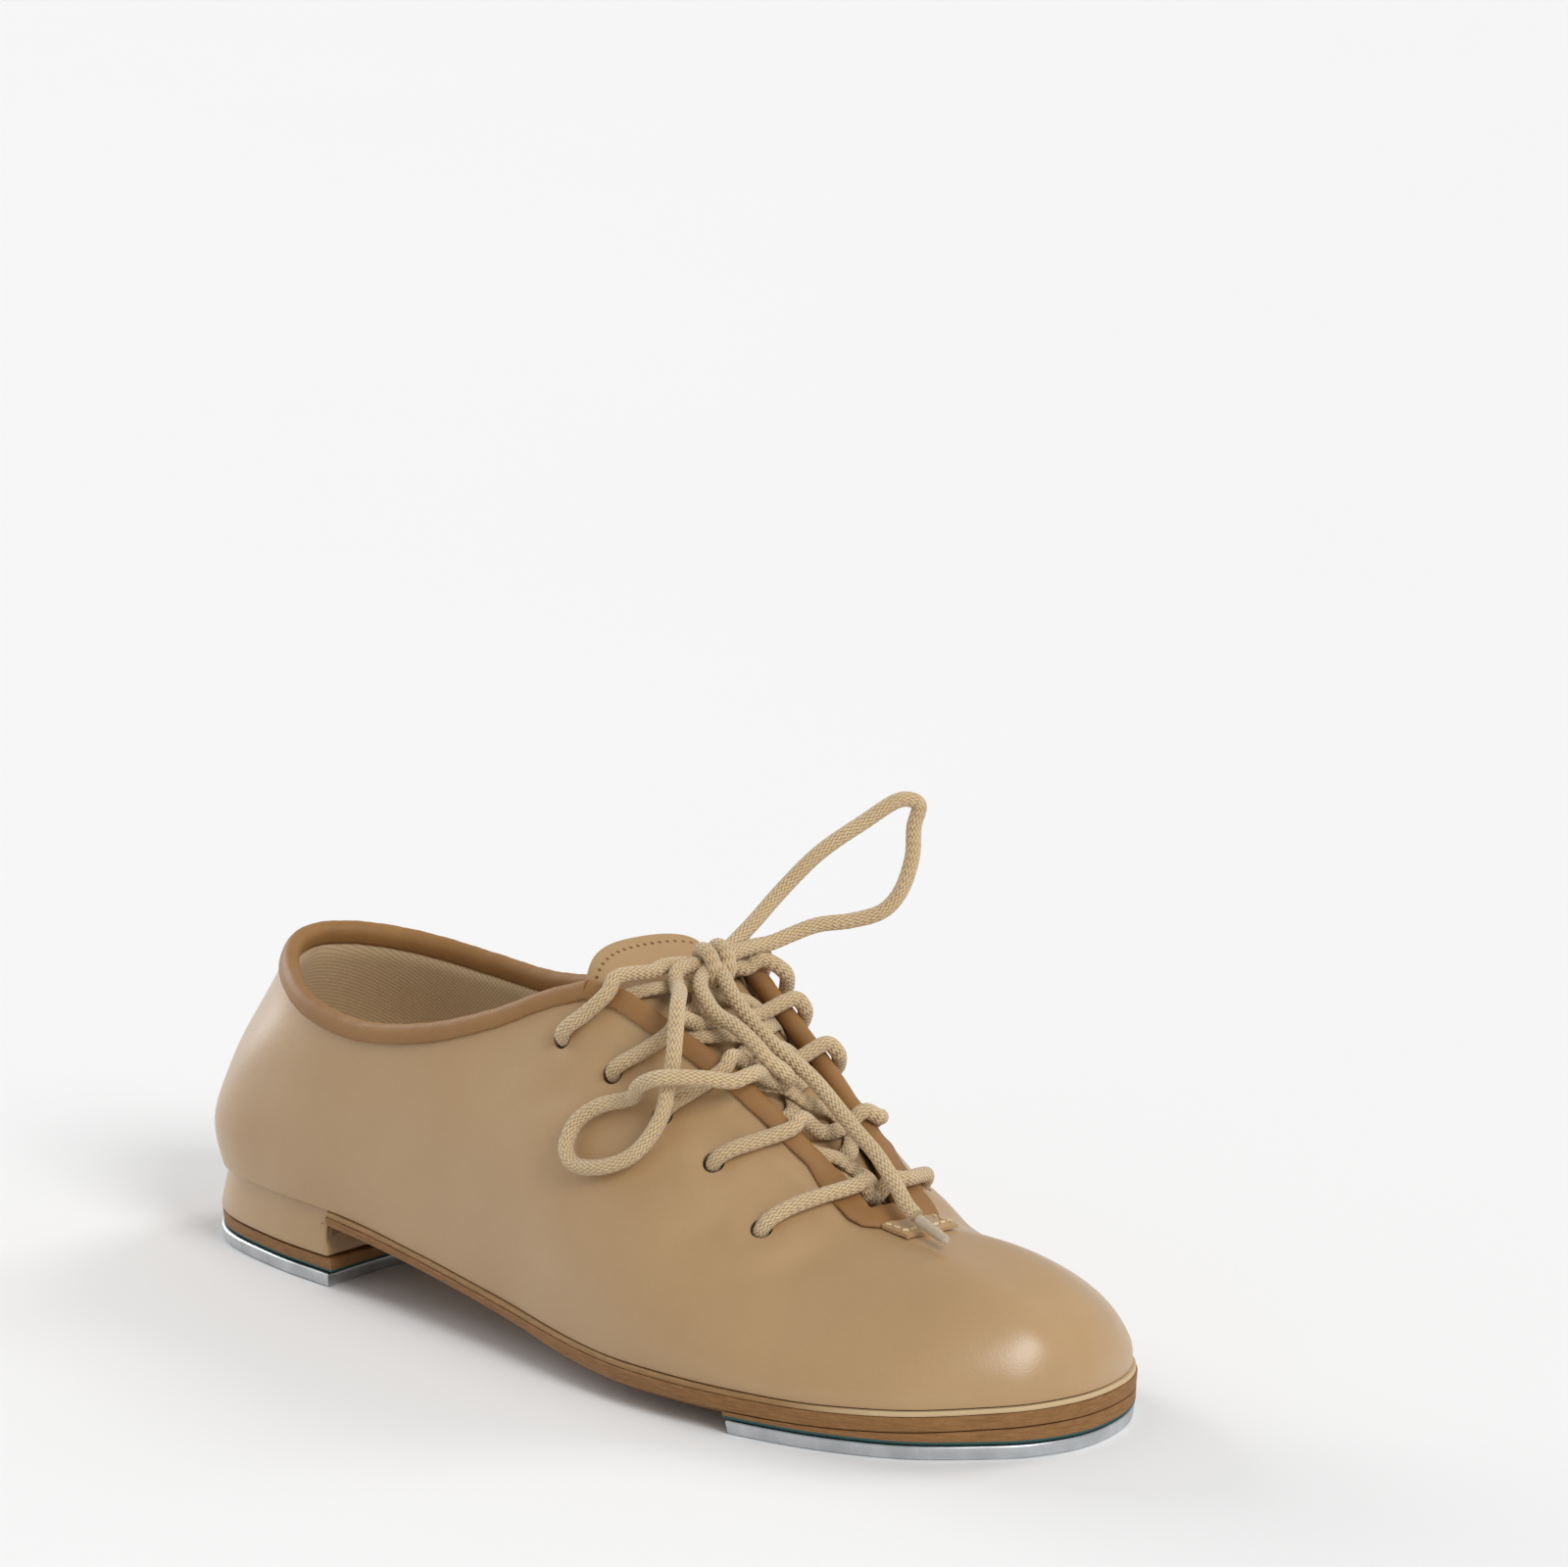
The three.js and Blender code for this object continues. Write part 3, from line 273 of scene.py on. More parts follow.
def toe_edge(station, outline_y):
    """Before the throat the wall meets the crown on an arch from the outline to the ridge."""
    x, y, z = RIDGE[station - 1]
    base = seat(x)
    share = TOE_EDGE_SHARE[station]
    height = (1 - (1 - share) ** ARCH_POWER) ** (1 / ARCH_POWER)
    return (x, outline_y + (y - outline_y) * share, base + (z - base) * height)


class Side:
    """One side of the shoe: its outline on the sole, and its edge at the lacing and topline."""

    def __init__(self, sign, column, edge_table):
        other = 3 - column
        self.sign = sign
        self.outline = station_curve(
            [(p[0], p[column], 0) for p in OUTLINE],
            (OUTLINE[1][0], OUTLINE[1][other], 0),
            (OUTLINE[14][0], OUTLINE[14][other], 0),
        )
        toe = [toe_edge(i, OUTLINE[i][column]) for i in range(1, THROAT)]
        x, y, z = edge_table[9]
        self.edge = station_curve([TOE_TIP, *toe, *edge_table], BELOW_TIP, (x, -y, z))


LATERAL = Side(-1, 1, LATERAL_EDGE)
MEDIAL = Side(1, 2, MEDIAL_EDGE)
SIDES = (LATERAL, MEDIAL)
SIDE_NAMES = ("lateral", "medial")


def plan_normal(side, s):
    """The direction straight out of the outline, level with the ground."""
    step = unit(side.outline(np.minimum(s + TIP, HEEL_BACK)) - side.outline(s - TIP))
    out = np.stack([step[:, 1], -step[:, 0], np.zeros(len(s))], 1) * side.sign
    out[s < TIP] = (1, 0, 0)
    out[s > HEEL_BACK - TIP] = (-1, 0, 0)
    return out


def plan_point(side, s, inset):
    """A point of the outline, moved in by an inset."""
    s = np.atleast_1d(np.asarray(s, float))
    return side.outline(s) - plan_normal(side, s) * np.reshape(inset, (-1, 1))


def bezier(a, b, c, d, t):
    k = 1 - t
    return a * k**3 + b * 3 * k * k * t + c * 3 * k * t * t + d * t**3


def skin(side, s, v):
    """Outer face of the upper. v runs 0 to 1 up the wall and 1 to 2 on to the ridge."""
    s, v = np.broadcast_arrays(np.atleast_1d(np.asarray(s, float)), np.asarray(v, float))
    foot = plan_point(side, s, UPPER_INSET)
    foot[:, 2] = seat(foot[:, 0]) + GAP
    edge = side.edge(s)
    pull, drop, bulge = fullness(s).T
    turn = np.radians(turning(s)[:, 0])
    flat = np.zeros(len(s))
    out = np.stack([-np.sin(turn), side.sign * np.cos(turn), flat], 1)
    width = np.abs(edge[:, 1] - foot[:, 1])
    height = edge[:, 2] - foot[:, 2]
    toe = 1 - smooth(s - THROAT + 1)
    low = foot + out * bulge[:, None]
    low[:, 2] += LOW_HANDLE * height
    high = edge + out * (pull + toe * EDGE_PULL * width)[:, None]
    high[:, 2] -= drop + toe * EDGE_DROP * height
    top = ridge(s)
    reach = CROWN_HANDLE * length(edge - top)
    onward = unit(edge - high) * reach
    far = top + np.stack([flat, side.sign * reach[:, 0], flat], 1)
    v = v[:, None]
    wall = bezier(foot, low, high, edge, np.minimum(v, 1))
    crown = bezier(edge, edge + onward, far, top, np.maximum(v - 1, 0))
    point = np.where(v <= 1, wall, crown)
    point[s < TIP] = TOE_TIP
    return point


NEAR = 0.02  # how far, in stations or heights, a slope of the skin is taken over
HAIR = 0.001  # as good as nothing


def slope_along(side, s, v):
    a = np.maximum(NEAR, s - NEAR)
    b = np.minimum(HEEL_BACK, a + 2 * NEAR)
    return skin(side, b, v) - skin(side, b - 2 * NEAR, v)


def slope_up(side, s, v):
    t = np.minimum(np.where(v > 1, 2, 1), v + NEAR / 2)
    return skin(side, s, t) - skin(side, s, np.maximum(t - NEAR, 0))


def skin_normal(side, s, v):
    """The direction straight out of the skin. On the middle line it lies in the middle plane."""
    s, v = np.broadcast_arrays(np.atleast_1d(np.asarray(s, float)), np.asarray(v, float))
    up = slope_up(side, s, v)
    out = unit(np.cross(slope_along(side, s, v), up) * side.sign)
    heel = s > HEEL_BACK - HAIR
    out[heel] = unit(np.stack([-up[:, 2], np.zeros(len(s)), up[:, 0]], 1))[heel]
    crest = v > 2 - HAIR
    back = ridge(s + TIP) - ridge(np.maximum(s - TIP, 0))
    out[crest] = unit(np.stack([back[:, 2], np.zeros(len(s)), -back[:, 0]], 1))[crest]
    out[s < TIP] = (1, 0, 0)
    return out


def layer(side, s, v, depth):
    """A point under the outer face; a negative depth is outside it."""
    return skin(side, s, v) - skin_normal(side, s, v) * np.reshape(depth, (-1, 1))


HALVINGS = 34
OUTLINE_HALVINGS = 40


def crossing(side, v, x):
    """The stations where lines at heights v reach x, behind the throat."""
    v = np.atleast_1d(np.asarray(v, float))
    low = np.full(len(v), THROAT - 1.0)
    high = np.full(len(v), CORNER + 2.0)
    for _ in range(HALVINGS):
        middle = (low + high) / 2
        ahead = skin(side, middle, v)[:, 0] > x
        low = np.where(ahead, middle, low)
        high = np.where(ahead, high, middle)
    return (low + high) / 2


def outline_station(side, x, inset):
    """The station where the outline, moved in by an inset, reaches x."""
    low, high = 0.0, float(HEEL_BACK)
    for _ in range(OUTLINE_HALVINGS):
        middle = (low + high) / 2
        if plan_point(side, middle, inset)[0, 0] > x:
            low = middle
        else:
            high = middle
    return (low + high) / 2


# ------------------------------------------------------------------ mesh helpers


SHARP = 35  # degrees


def add_mesh(name, points, faces, sharp=SHARP):
    """A smooth-shaded piece from points in millimetres; faces that meet sharply stay crisp."""
    mesh = bpy.data.meshes.new(name)
    mesh.from_pydata(((np.asarray(points) + SHIFT) * MM).tolist(), [], faces)
    mesh.validate()
    work = bmesh.new()
    work.from_mesh(mesh)
    bmesh.ops.recalc_face_normals(work, faces=work.faces)
    work.to_mesh(mesh)
    work.free()
    mesh.shade_smooth()
    mesh.set_sharp_from_angle(angle=math.radians(sharp))
    piece = bpy.data.objects.new(name, mesh)
    bpy.context.scene.collection.objects.link(piece)
    return piece


def weld(grids):
    """Joins grids of points that share edges. Returns points, faces and the first use of each."""
    points = np.concatenate([grid.reshape(-1, 3) for grid in grids])
    keys = np.round(points, 3) + 0.0  # the sum leaves no negative zeros
    _, first, inverse = np.unique(keys, axis=0, return_index=True, return_inverse=True)
    inverse = inverse.ravel()
    faces = []
    start = 0
    for grid in grids:
        rows, columns = grid.shape[:2]
        ids = inverse[start : start + rows * columns].reshape(rows, columns)
        start += rows * columns
        quads = np.stack([ids[:-1, :-1], ids[1:, :-1], ids[1:, 1:], ids[:-1, 1:]], -1)
        for quad in quads.reshape(-1, 4).tolist():
            face = list(dict.fromkeys(quad))
            if len(face) > 2:
                faces.append(face)
    return points[first], faces, first


def sheet_piece(name, patches, sharp=SHARP):
    """One closed body between two facing sheets. Each patch is a (front, back) pair of grids."""
    points, faces, first = weld([front for front, _ in patches])
    behind = np.concatenate([back.reshape(-1, 3) for _, back in patches])[first]
    count = len(points)
    uses = Counter()
    for face in faces:
        uses.update(tuple(sorted(edge)) for edge in zip(face, face[1:] + face[:1]))
    rim = [[a, b, b + count, a + count] for (a, b), times in uses.items() if times == 1]
    under = [[i + count for i in face] for face in faces]
    return add_mesh(name, np.concatenate([points, behind]), faces + under + rim, sharp)


def drill(piece, tool):
    """Cuts a closed tool out of a piece and removes the tool."""
    cut = piece.modifiers.new("cut", "BOOLEAN")
    cut.operation = "DIFFERENCE"
    cut.solver = "MANIFOLD"
    cut.object = tool
    bpy.context.view_layer.update()
    depsgraph = bpy.context.evaluated_depsgraph_get()
    mesh = bpy.data.meshes.new_from_object(piece.evaluated_get(depsgraph))
    piece.modifiers.clear()
    piece.data = mesh
    bpy.data.objects.remove(tool)
    mesh.shade_smooth()
    mesh.set_sharp_from_angle(angle=math.radians(SHARP))


def join_parts(name, parts):
    """One piece from several lists of (points, faces)."""
    points = []
    faces = []
    for part_points, part_faces in parts:
        start = len(points)
        points.extend(np.asarray(part_points).tolist())
        faces.extend([[i + start for i in face] for face in part_faces])
    return add_mesh(name, np.array(points), faces)


def perpendicular(axis):
    other = np.array([0.0, 0.0, 1.0]) if abs(axis[2]) < 0.9 else np.array([1.0, 0.0, 0.0])
    return unit(np.cross(axis, other))


def lathed(profile, base, axis, sides=24):
    """Points and faces of a turned solid. profile is (radius, height); it closes on the axis."""
    axis = unit(np.array(axis, float))
    a = perpendicular(axis)
    b = np.cross(axis, a)
    angle = np.linspace(0, 2 * math.pi, sides, endpoint=False)
    spoke = np.cos(angle)[:, None] * a + np.sin(angle)[:, None] * b
    rings = [np.array(base) + axis * h + spoke * max(r, HAIR) for r, h in profile]
    return np.concatenate(rings), ring_faces(len(profile), sides)


def ring_faces(rings, sides):
    """Faces of a tube of rings, closed at both ends."""
    faces = []
    for i in range(rings - 1):
        for j in range(sides):
            k = (j + 1) % sides
            faces.append([i * sides + j, i * sides + k, (i + 1) * sides + k, (i + 1) * sides + j])
    faces.append(list(range(sides)))
    faces.append([(rings - 1) * sides + j for j in range(sides)][::-1])
    return faces


DENSE = 24  # points to a knot, before they are evenly spaced


def curve_through(knots, spacing):
    """Evenly spaced points along the smooth open line through its knots."""
    knots = np.array(knots, float)
    lead = 2 * knots[0] - knots[1]
    trail = 2 * knots[-1] - knots[-2]
    line = station_curve(knots, lead, trail)
    dense = line(np.linspace(0, len(knots) - 1.0001, DENSE * len(knots)))
    return resample(dense, spacing)


def travelled(points):
    """How far along a line each of its points is."""
    return np.concatenate([[0], np.cumsum(np.linalg.norm(np.diff(points, axis=0), axis=1))])


def resample(points, spacing):
    """The same line with its points evenly spaced."""
    run = travelled(points)
    wanted = np.linspace(0, run[-1], max(2, int(round(run[-1] / spacing))) + 1)
    return np.stack([np.interp(wanted, run, points[:, k]) for k in range(3)], 1)


def tangents(points):
    return unit(np.gradient(points, axis=0))


def square_to(along, way):
    """The part of each way that is square to a line."""
    return unit(way - along * (way * along).sum(1, keepdims=True))


def carried_frames(points):
    """Two directions across a line that turn with it and never twist about it."""
    along = tangents(points)
    across = perpendicular(along[0])
    frames = []
    for t in along:
        across = across - t * np.dot(across, t)
        across = across / np.linalg.norm(across)
        frames.append(across)
    a = np.array(frames)
    return a, np.cross(along, a)


def sweep(points, a, b, profile):
    """Points and faces of a tube. profile holds the (a, b) pairs of its section at each point."""
    grid = (
        points[:, None, :]
        + a[:, None, :] * profile[:, :, 0:1]
        + b[:, None, :] * profile[:, :, 1:2]
    )
    return grid.reshape(-1, 3), ring_faces(len(points), profile.shape[1])


# Rings of a stitch: place along it, and size
STITCH_RINGS = ((-1, 0.35), (-0.75, 0.85), (0, 1.1), (0.75, 0.85), (1, 0.35))
STITCH_SIDES = 6


def capsule(centre, direction, normal, long, wide):
    """A stitch: a short rounded stroke that lies along a surface."""
    along = unit(np.array(direction, float)) * long / 2
    up = unit(np.array(normal, float)) * wide
    across = unit(np.cross(along, up)) * wide
    rings = []
    for place, size in STITCH_RINGS:
        for k in range(STITCH_SIDES):
            angle = 2 * math.pi * k / STITCH_SIDES
            spoke = across * math.cos(angle) + up * math.sin(angle)
            rings.append(centre + along * place + spoke * size)
    return np.array(rings), ring_faces(len(STITCH_RINGS), STITCH_SIDES)


# ------------------------------------------------------------------ materials


def srgb(text):
    values = [int(text[i : i + 2], 16) / 255 for i in (1, 3, 5)]
    return tuple(v / 12.92 if v <= 0.04045 else ((v + 0.055) / 1.055) ** 2.4 for v in values)


class Look:
    """A material's nodes, added one by one. Scales are to the metre and heights in metres."""

    def __init__(self, name):
        self.material = bpy.data.materials.new(name)
        self.material.use_nodes = True
        self.tree = self.material.node_tree
        self.shader = self.tree.nodes["Principled BSDF"]
        coords = self.tree.nodes.new("ShaderNodeTexCoord")
        self.place = coords.outputs["Object"]
        self.uv = coords.outputs["UV"]
        self.height = None

    def node(self, kind, inputs, **settings):
        made = self.tree.nodes.new("ShaderNode" + kind)
        for key, value in settings.items():
            setattr(made, key, value)
        for key, value in inputs.items():
            self.feed(made.inputs[key], value)
        return made

    def feed(self, socket, value):
        if isinstance(value, bpy.types.NodeSocket):
            self.tree.links.new(value, socket)
        elif isinstance(value, tuple) and len(value) == 3 and socket.type == "RGBA":
            socket.default_value = (*value, 1)
        else:
            socket.default_value = value

    def axes(self, of=None):
        return self.node("SeparateXYZ", {"Vector": of or self.place})

    def stretched(self, scale):
        return self.node("Mapping", {"Vector": self.place, "Scale": scale}).outputs["Vector"]

    def noise(self, scale, detail=3.0, rough=0.55, where=None):
        grain = {"Scale": scale, "Detail": detail, "Roughness": rough}
        return self.node("TexNoise", {"Vector": where or self.place, **grain}).outputs["Fac"]

    def cells(self, scale):
        return self.node("TexVoronoi", {"Vector": self.place, "Scale": scale}).outputs["Distance"]

    def ranged(self, value, low, high, to_low=0.0, to_high=1.0):
        limits = {"From Min": low, "From Max": high, "To Min": to_low, "To Max": to_high}
        return self.node("MapRange", {"Value": value, **limits}).outputs["Result"]

    def maths(self, operation, a, b=0.0):
        return self.node("Math", {0: a, 1: b}, operation=operation).outputs["Value"]

    def mix(self, share, a, b):
        return self.node("MixRGB", {"Fac": share, "Color1": a, "Color2": b}).outputs["Color"]

    def bump(self, height, strength, distance):
        """Adds a height; each new one rides on the last."""
        inputs = {"Height": height, "Strength": strength, "Distance": distance}
        if self.height is not None:
            inputs["Normal"] = self.height
        self.height = self.node("Bump", inputs).outputs["Normal"]
        self.feed(self.shader.inputs["Normal"], self.height)

    def set(self, **values):
        for key, value in values.items():
            self.feed(self.shader.inputs[key.replace("_", " ")], value)


def plain(name, colour, roughness):
    look = Look(name)
    cloudy = look.ranged(look.noise(2.0), 0.3, 0.7)
    look.set(Base_Color=look.mix(cloudy, tuple(c * 0.99 for c in colour), colour))
    look.set(Roughness=roughness)
    return look.material


def leather(name, dark, light, grain=1.0, gloss=0.42, coat=0.05):
    """Smooth full-grain leather: soft cloudy colour, fine creased pores, satin gloss."""
    look = Look(name)
    cloudy = look.ranged(look.noise(38.0, 4.0), 0.25, 0.75)
    base = look.mix(cloudy, srgb(dark), srgb(light))
    pores = look.cells(1500.0)
    fine = look.noise(2600.0, 2.0)
    speckle = look.ranged(fine, 0.35, 0.7, 0.0, 0.12)
    base = look.mix(speckle, base, tuple(c * 0.72 for c in srgb(dark)))
    rubbed = look.ranged(look.noise(16.0, 2.0), 0.4, 0.7)
    look.set(Base_Color=base)
    look.set(Roughness=look.ranged(rubbed, 0.0, 1.0, gloss + 0.07, gloss - 0.04))
    look.bump(look.ranged(pores, 0.0, 0.6), 0.16 * grain, 0.0001)
    look.bump(fine, 0.14 * grain, 0.00008)
    look.bump(look.noise(120.0, 3.0), 0.12 * grain, 0.0006)
    look.set(Coat_Weight=coat, Coat_Roughness=0.28)
    return look.material


def woven(name, dark, light, threads=1500.0):
    """Plain-weave lining cloth with a slight nap."""
    look = Look(name)
    split = look.axes()
    x, y, z = (look.maths("MULTIPLY", split.outputs[k], threads * math.pi) for k in range(3))
    across = look.maths("SINE", look.maths("ADD", x, y))
    along = look.maths("SINE", look.maths("SUBTRACT", z, y))
    weave = look.ranged(look.maths("MULTIPLY", across, along), -1.0, 1.0)
    fuzz = look.noise(900.0, 4.0)
    base = look.mix(look.ranged(weave, 0.1, 0.9), srgb(dark), srgb(light))
    look.set(Base_Color=look.mix(look.ranged(fuzz, 0.3, 0.8, 0.0, 0.25), base, srgb(dark)))
    look.set(Roughness=0.85)
    look.bump(weave, 0.35, 0.00015)
    look.bump(fuzz, 0.25, 0.0002)
    look.set(Sheen_Weight=0.2, Sheen_Roughness=0.5)
    return look.material


TOE_PALE = 0.102  # x in metres
# Sole edges next to a tap are coloured dark teal below this height in metres, in the colour under
# it
DARK_FOOT_HEIGHT = 0.0038
DARK_FOOT = "#24504f"
EDGE_LAYERS = (260.0, 260.0, 2600.0)


def fibrous(name, dark, light, layers=EDGE_LAYERS, roughness=0.75, dark_foot=False, toe=None):
    """Cut and burnished edge of sole leather or board: short fibres that run along it. An edge
    beside a tap can be coloured dark teal along its foot, and toe is the paler colour round the
    toe."""
    look = Look(name)
    streaks = look.noise(1.0, 5.0, 0.65, look.stretched(layers))
    flecks = look.noise(1100.0, 3.0)
    base = look.mix(look.ranged(streaks, 0.3, 0.7), srgb(dark), srgb(light))
    base = look.mix(look.ranged(flecks, 0.45, 0.8, 0.0, 0.5), base, srgb(dark))
    worn = look.ranged(look.noise(60.0, 3.0), 0.5, 0.75, 0.0, 0.35)
    base = look.mix(worn, base, srgb(light))
    if toe:
        forward = look.ranged(look.axes().outputs["X"], TOE_PALE - 0.02, TOE_PALE)
        base = look.mix(forward, base, srgb(toe))
    # a dark teal band along the foot of the edge, up against the tap
    if dark_foot:
        rise = look.ranged(look.axes().outputs["Z"], DARK_FOOT_HEIGHT, DARK_FOOT_HEIGHT + 0.0001)
        base = look.mix(rise, srgb(DARK_FOOT), base)
    look.set(Base_Color=base, Roughness=roughness)
    look.bump(streaks, 0.5, 0.0003)
    look.bump(flecks, 0.25, 0.00015)
    return look.material


def foamed(name, colour):
    look = Look(name)
    pores = look.ranged(look.cells(1400.0), 0.0, 0.5)
    base = look.mix(pores, tuple(c * 0.7 for c in srgb(colour)), srgb(colour))
    look.set(Base_Color=base, Roughness=0.95)
    look.bump(pores, 0.5, 0.0003)
    return look.material


def metal(name, dark, light, roughness, brushed=(90.0, 1400.0, 900.0)):
    """Cast or turned metal with fine brushing and stray scratches."""
    look = Look(name)
    brushing = look.noise(1.0, 4.0, 0.6, look.stretched(brushed))
    stray = look.ranged(look.noise(1.0, 2.0, 0.5, look.stretched((900.0, 60.0, 60.0))), 0.6, 0.66)
    base = look.mix(look.ranged(look.noise(90.0, 3.0), 0.3, 0.7), srgb(dark), srgb(light))
    look.set(Base_Color=look.mix(look.ranged(stray, 0.0, 1.0, 0.0, 0.25), base, srgb(light)))
    look.set(Metallic=1.0)
    look.set(Roughness=look.ranged(brushing, 0.3, 0.7, roughness - 0.07, roughness + 0.1))
    look.bump(brushing, 0.25, 0.00008)
    look.bump(look.noise(700.0, 3.0), 0.15, 0.0001)
    return look.material


STRANDS_AROUND = 12
BRAID_PER_METRE = 620.0


def braided(name, dark, light):
    """Round braid: two families of strands that pass over and under each other."""
    look = Look(name)
    split = look.axes(look.uv)
    run = look.maths("MULTIPLY", split.outputs["X"], BRAID_PER_METRE)
    turn = look.maths("MULTIPLY", split.outputs["Y"], float(STRANDS_AROUND))
    p = look.maths("ADD", run, turn)
    q = look.maths("SUBTRACT", run, turn)
    ridge_p, ridge_q = (
        look.maths("ABSOLUTE", look.maths("SINE", look.maths("MULTIPLY", strand, math.pi)))
        for strand in (p, q)
    )
    squares = look.maths("ADD", look.maths("FLOOR", p), look.maths("FLOOR", q))
    over = look.maths("MODULO", look.maths("ABSOLUTE", squares), 2.0)
    first = look.maths("MULTIPLY", ridge_p, over)
    second = look.maths("MULTIPLY", ridge_q, look.maths("SUBTRACT", 1.0, over))
    braid = look.maths("ADD", first, second)
    fuzz = look.noise(2400.0, 3.0)
    base = look.mix(look.ranged(braid, 0.15, 0.85), srgb(dark), srgb(light))
    base = look.mix(look.ranged(look.noise(70.0), 0.35, 0.7, 0.0, 0.3), base, srgb(dark))
    look.set(Base_Color=look.mix(look.ranged(fuzz, 0.4, 0.8, 0.0, 0.3), base, srgb(light)))
    look.set(Roughness=0.85)
    look.bump(braid, 0.7, 0.0004)
    look.bump(fuzz, 0.4, 0.0002)
    look.set(Sheen_Weight=0.3, Sheen_Roughness=0.5)
    return look.material


def clear_plastic(name):
    """The aglet's thin film, tinted by age."""
    look = Look(name)
    cloudy = look.ranged(look.noise(300.0), 0.35, 0.7, 0.08, 0.18)
    look.set(Base_Color=(0.95, 0.83, 0.66), Roughness=cloudy, IOR=1.4)
    look.set(Transmission_Weight=0.6)
    look.bump(look.noise(500.0), 0.1, 0.0001)
    return look.material


SOLE_BROWNS = ("#785128", "#9a6f40")
BOARD_GRAIN = (300.0, 300.0, 300.0)
TURNED = (900.0, 900.0, 200.0)
LOOKS = {
    "tan_leather": leather("tan leather", "#b08e64", "#b7966b", gloss=0.36, coat=0.3),
    "tongue_leather": leather(
        "tongue leather", "#ae8d64", "#b5946a", grain=1.4, gloss=0.6, coat=0.0
    ),
    "binding": leather("binding leather", "#8c6335", "#9f7442", grain=1.8, gloss=0.62),
    "lining_cloth": woven("lining cloth", "#b79b74", "#d3bd99"),
    "sole_leather": fibrous("sole leather", *SOLE_BROWNS),
    # sole leather with a dark teal band along its foot, next to the tap
    "dark_foot_leather": fibrous("dark_foot sole leather", *SOLE_BROWNS, dark_foot=True),
    "cream_midsole": fibrous("midsole", "#8d6a3f", "#a88457", toe="#c9b088"),
    "fibre_board": fibrous("fibre board", "#7d6247", "#9c8162", BOARD_GRAIN, roughness=0.9),
    "foam": foamed("foam", "#d9cdb8"),
    "aluminium_tap": metal("tap metal", "#b2b5b7", "#d3d6d9", roughness=0.36),
    "steel": metal("screw steel", "#8d8f92", "#b0b2b4", roughness=0.28, brushed=TURNED),
    "lace_cotton": braided("lace cotton", "#b39062", "#dec59b"),
    "clear_tip": clear_plastic("clear tip"),
    "thread": woven("thread", "#c9ae84", "#e6d3ad", threads=2200.0),
}


def place(piece, slot, body, stands_for=(), look=None):
    """Gives a finished piece its material, parents it to its body (or, for the bend between
    both, bakes its place into its mesh) and hides the CAD parts it stands for.
    """
    piece.data.materials.clear()
    piece.data.materials.append(LOOKS[look or slot])
    if body == "bend":
        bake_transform(piece)
    else:
        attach(piece, body)
    if stands_for:
        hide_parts(*stands_for)
    return piece


# ------------------------------------------------------------------ upper

# x, distance down from the lacing edge on the lateral and the medial side, and the x
# where the lace crosses the edge
EYELETS = [
    (61.5, 16.6, 12, 68), (46.5, 13.8, 10.5, 55.3), (32.5, 12.9, 11, 40.5),
    (18.5, 12.1, 11.5, 28.5), (3.5, 8.5, 8.5, 13.5),
]
EYELET_RADIUS = 2.3
BEAD_RISE = 2.5
STATION_STEPS = 16  # mesh rows to a station
UP_STEPS = 48
CROWN_STEPS = 24
CREASE = 50  # degrees; faces of the upper that meet more sharply stay crisp


class Eyelet:
    """A punched lace hole."""

    def __init__(self, side, x, lateral_setback, medial_setback, edge_x):
        setback = lateral_setback if side is LATERAL else medial_setback
        heights = np.arange(1, 0.3, -0.01)
        stations = crossing(side, heights, x)
        spots = skin(side, stations, heights)
        k = int(np.argmax(travelled(spots)[1:] >= setback)) + 1
        self.side, self.s, self.v = side, stations[k], heights[k]
        self.point = spots[k]
        self.normal = skin_normal(side, self.s, self.v)[0]
        self.edge_s = crossing(side, 1, edge_x)[0]


eyelets = [[Eyelet(side, *numbers) for numbers in EYELETS] for side in SIDES]

# Soft dents and folds of worn leather: side, x, z, length along the shoe, height, depth
DENTS = [
    (-1, 66, 29, 9, 3.2, 0.75), (-1, 53, 37, 7, 3, 0.6), (-1, 74, 33, 5, 4, 0.45),
    (-1, 38, 45, 6, 3, 0.45), (1, 68, 30, 9, 3.5, 0.75), (1, 80, 36, 6, 4, 0.5),
    (1, 54, 38, 7, 3, 0.5), (-1, 60, 20, 12, 2.5, 0.4), (1, 58, 22, 12, 2.5, 0.4),
    (-1, -78, 34, 14, 9, 0.3), (1, -78, 34, 14, 9, 0.3), (-1, 6, 55, 8, 3, 0.35),
]
DENT_LEAN = 0.35  # dents rise this much for each millimetre towards the toe
FLEX_CREASE = 0.1  # fine creases across the ball of the foot
FACING_ROLL = 0.55  # the leather stands up a little beside the lacing
COUNTER_BULGE = 1.3  # and over the top of the heel
EYELET_DIMPLE = 0.45  # the punch has pressed the leather in
EYELET_RING = 0.16  # and raised it a little further out


def bell(distance, wide):
    return np.exp(-((distance / wide) ** 2))


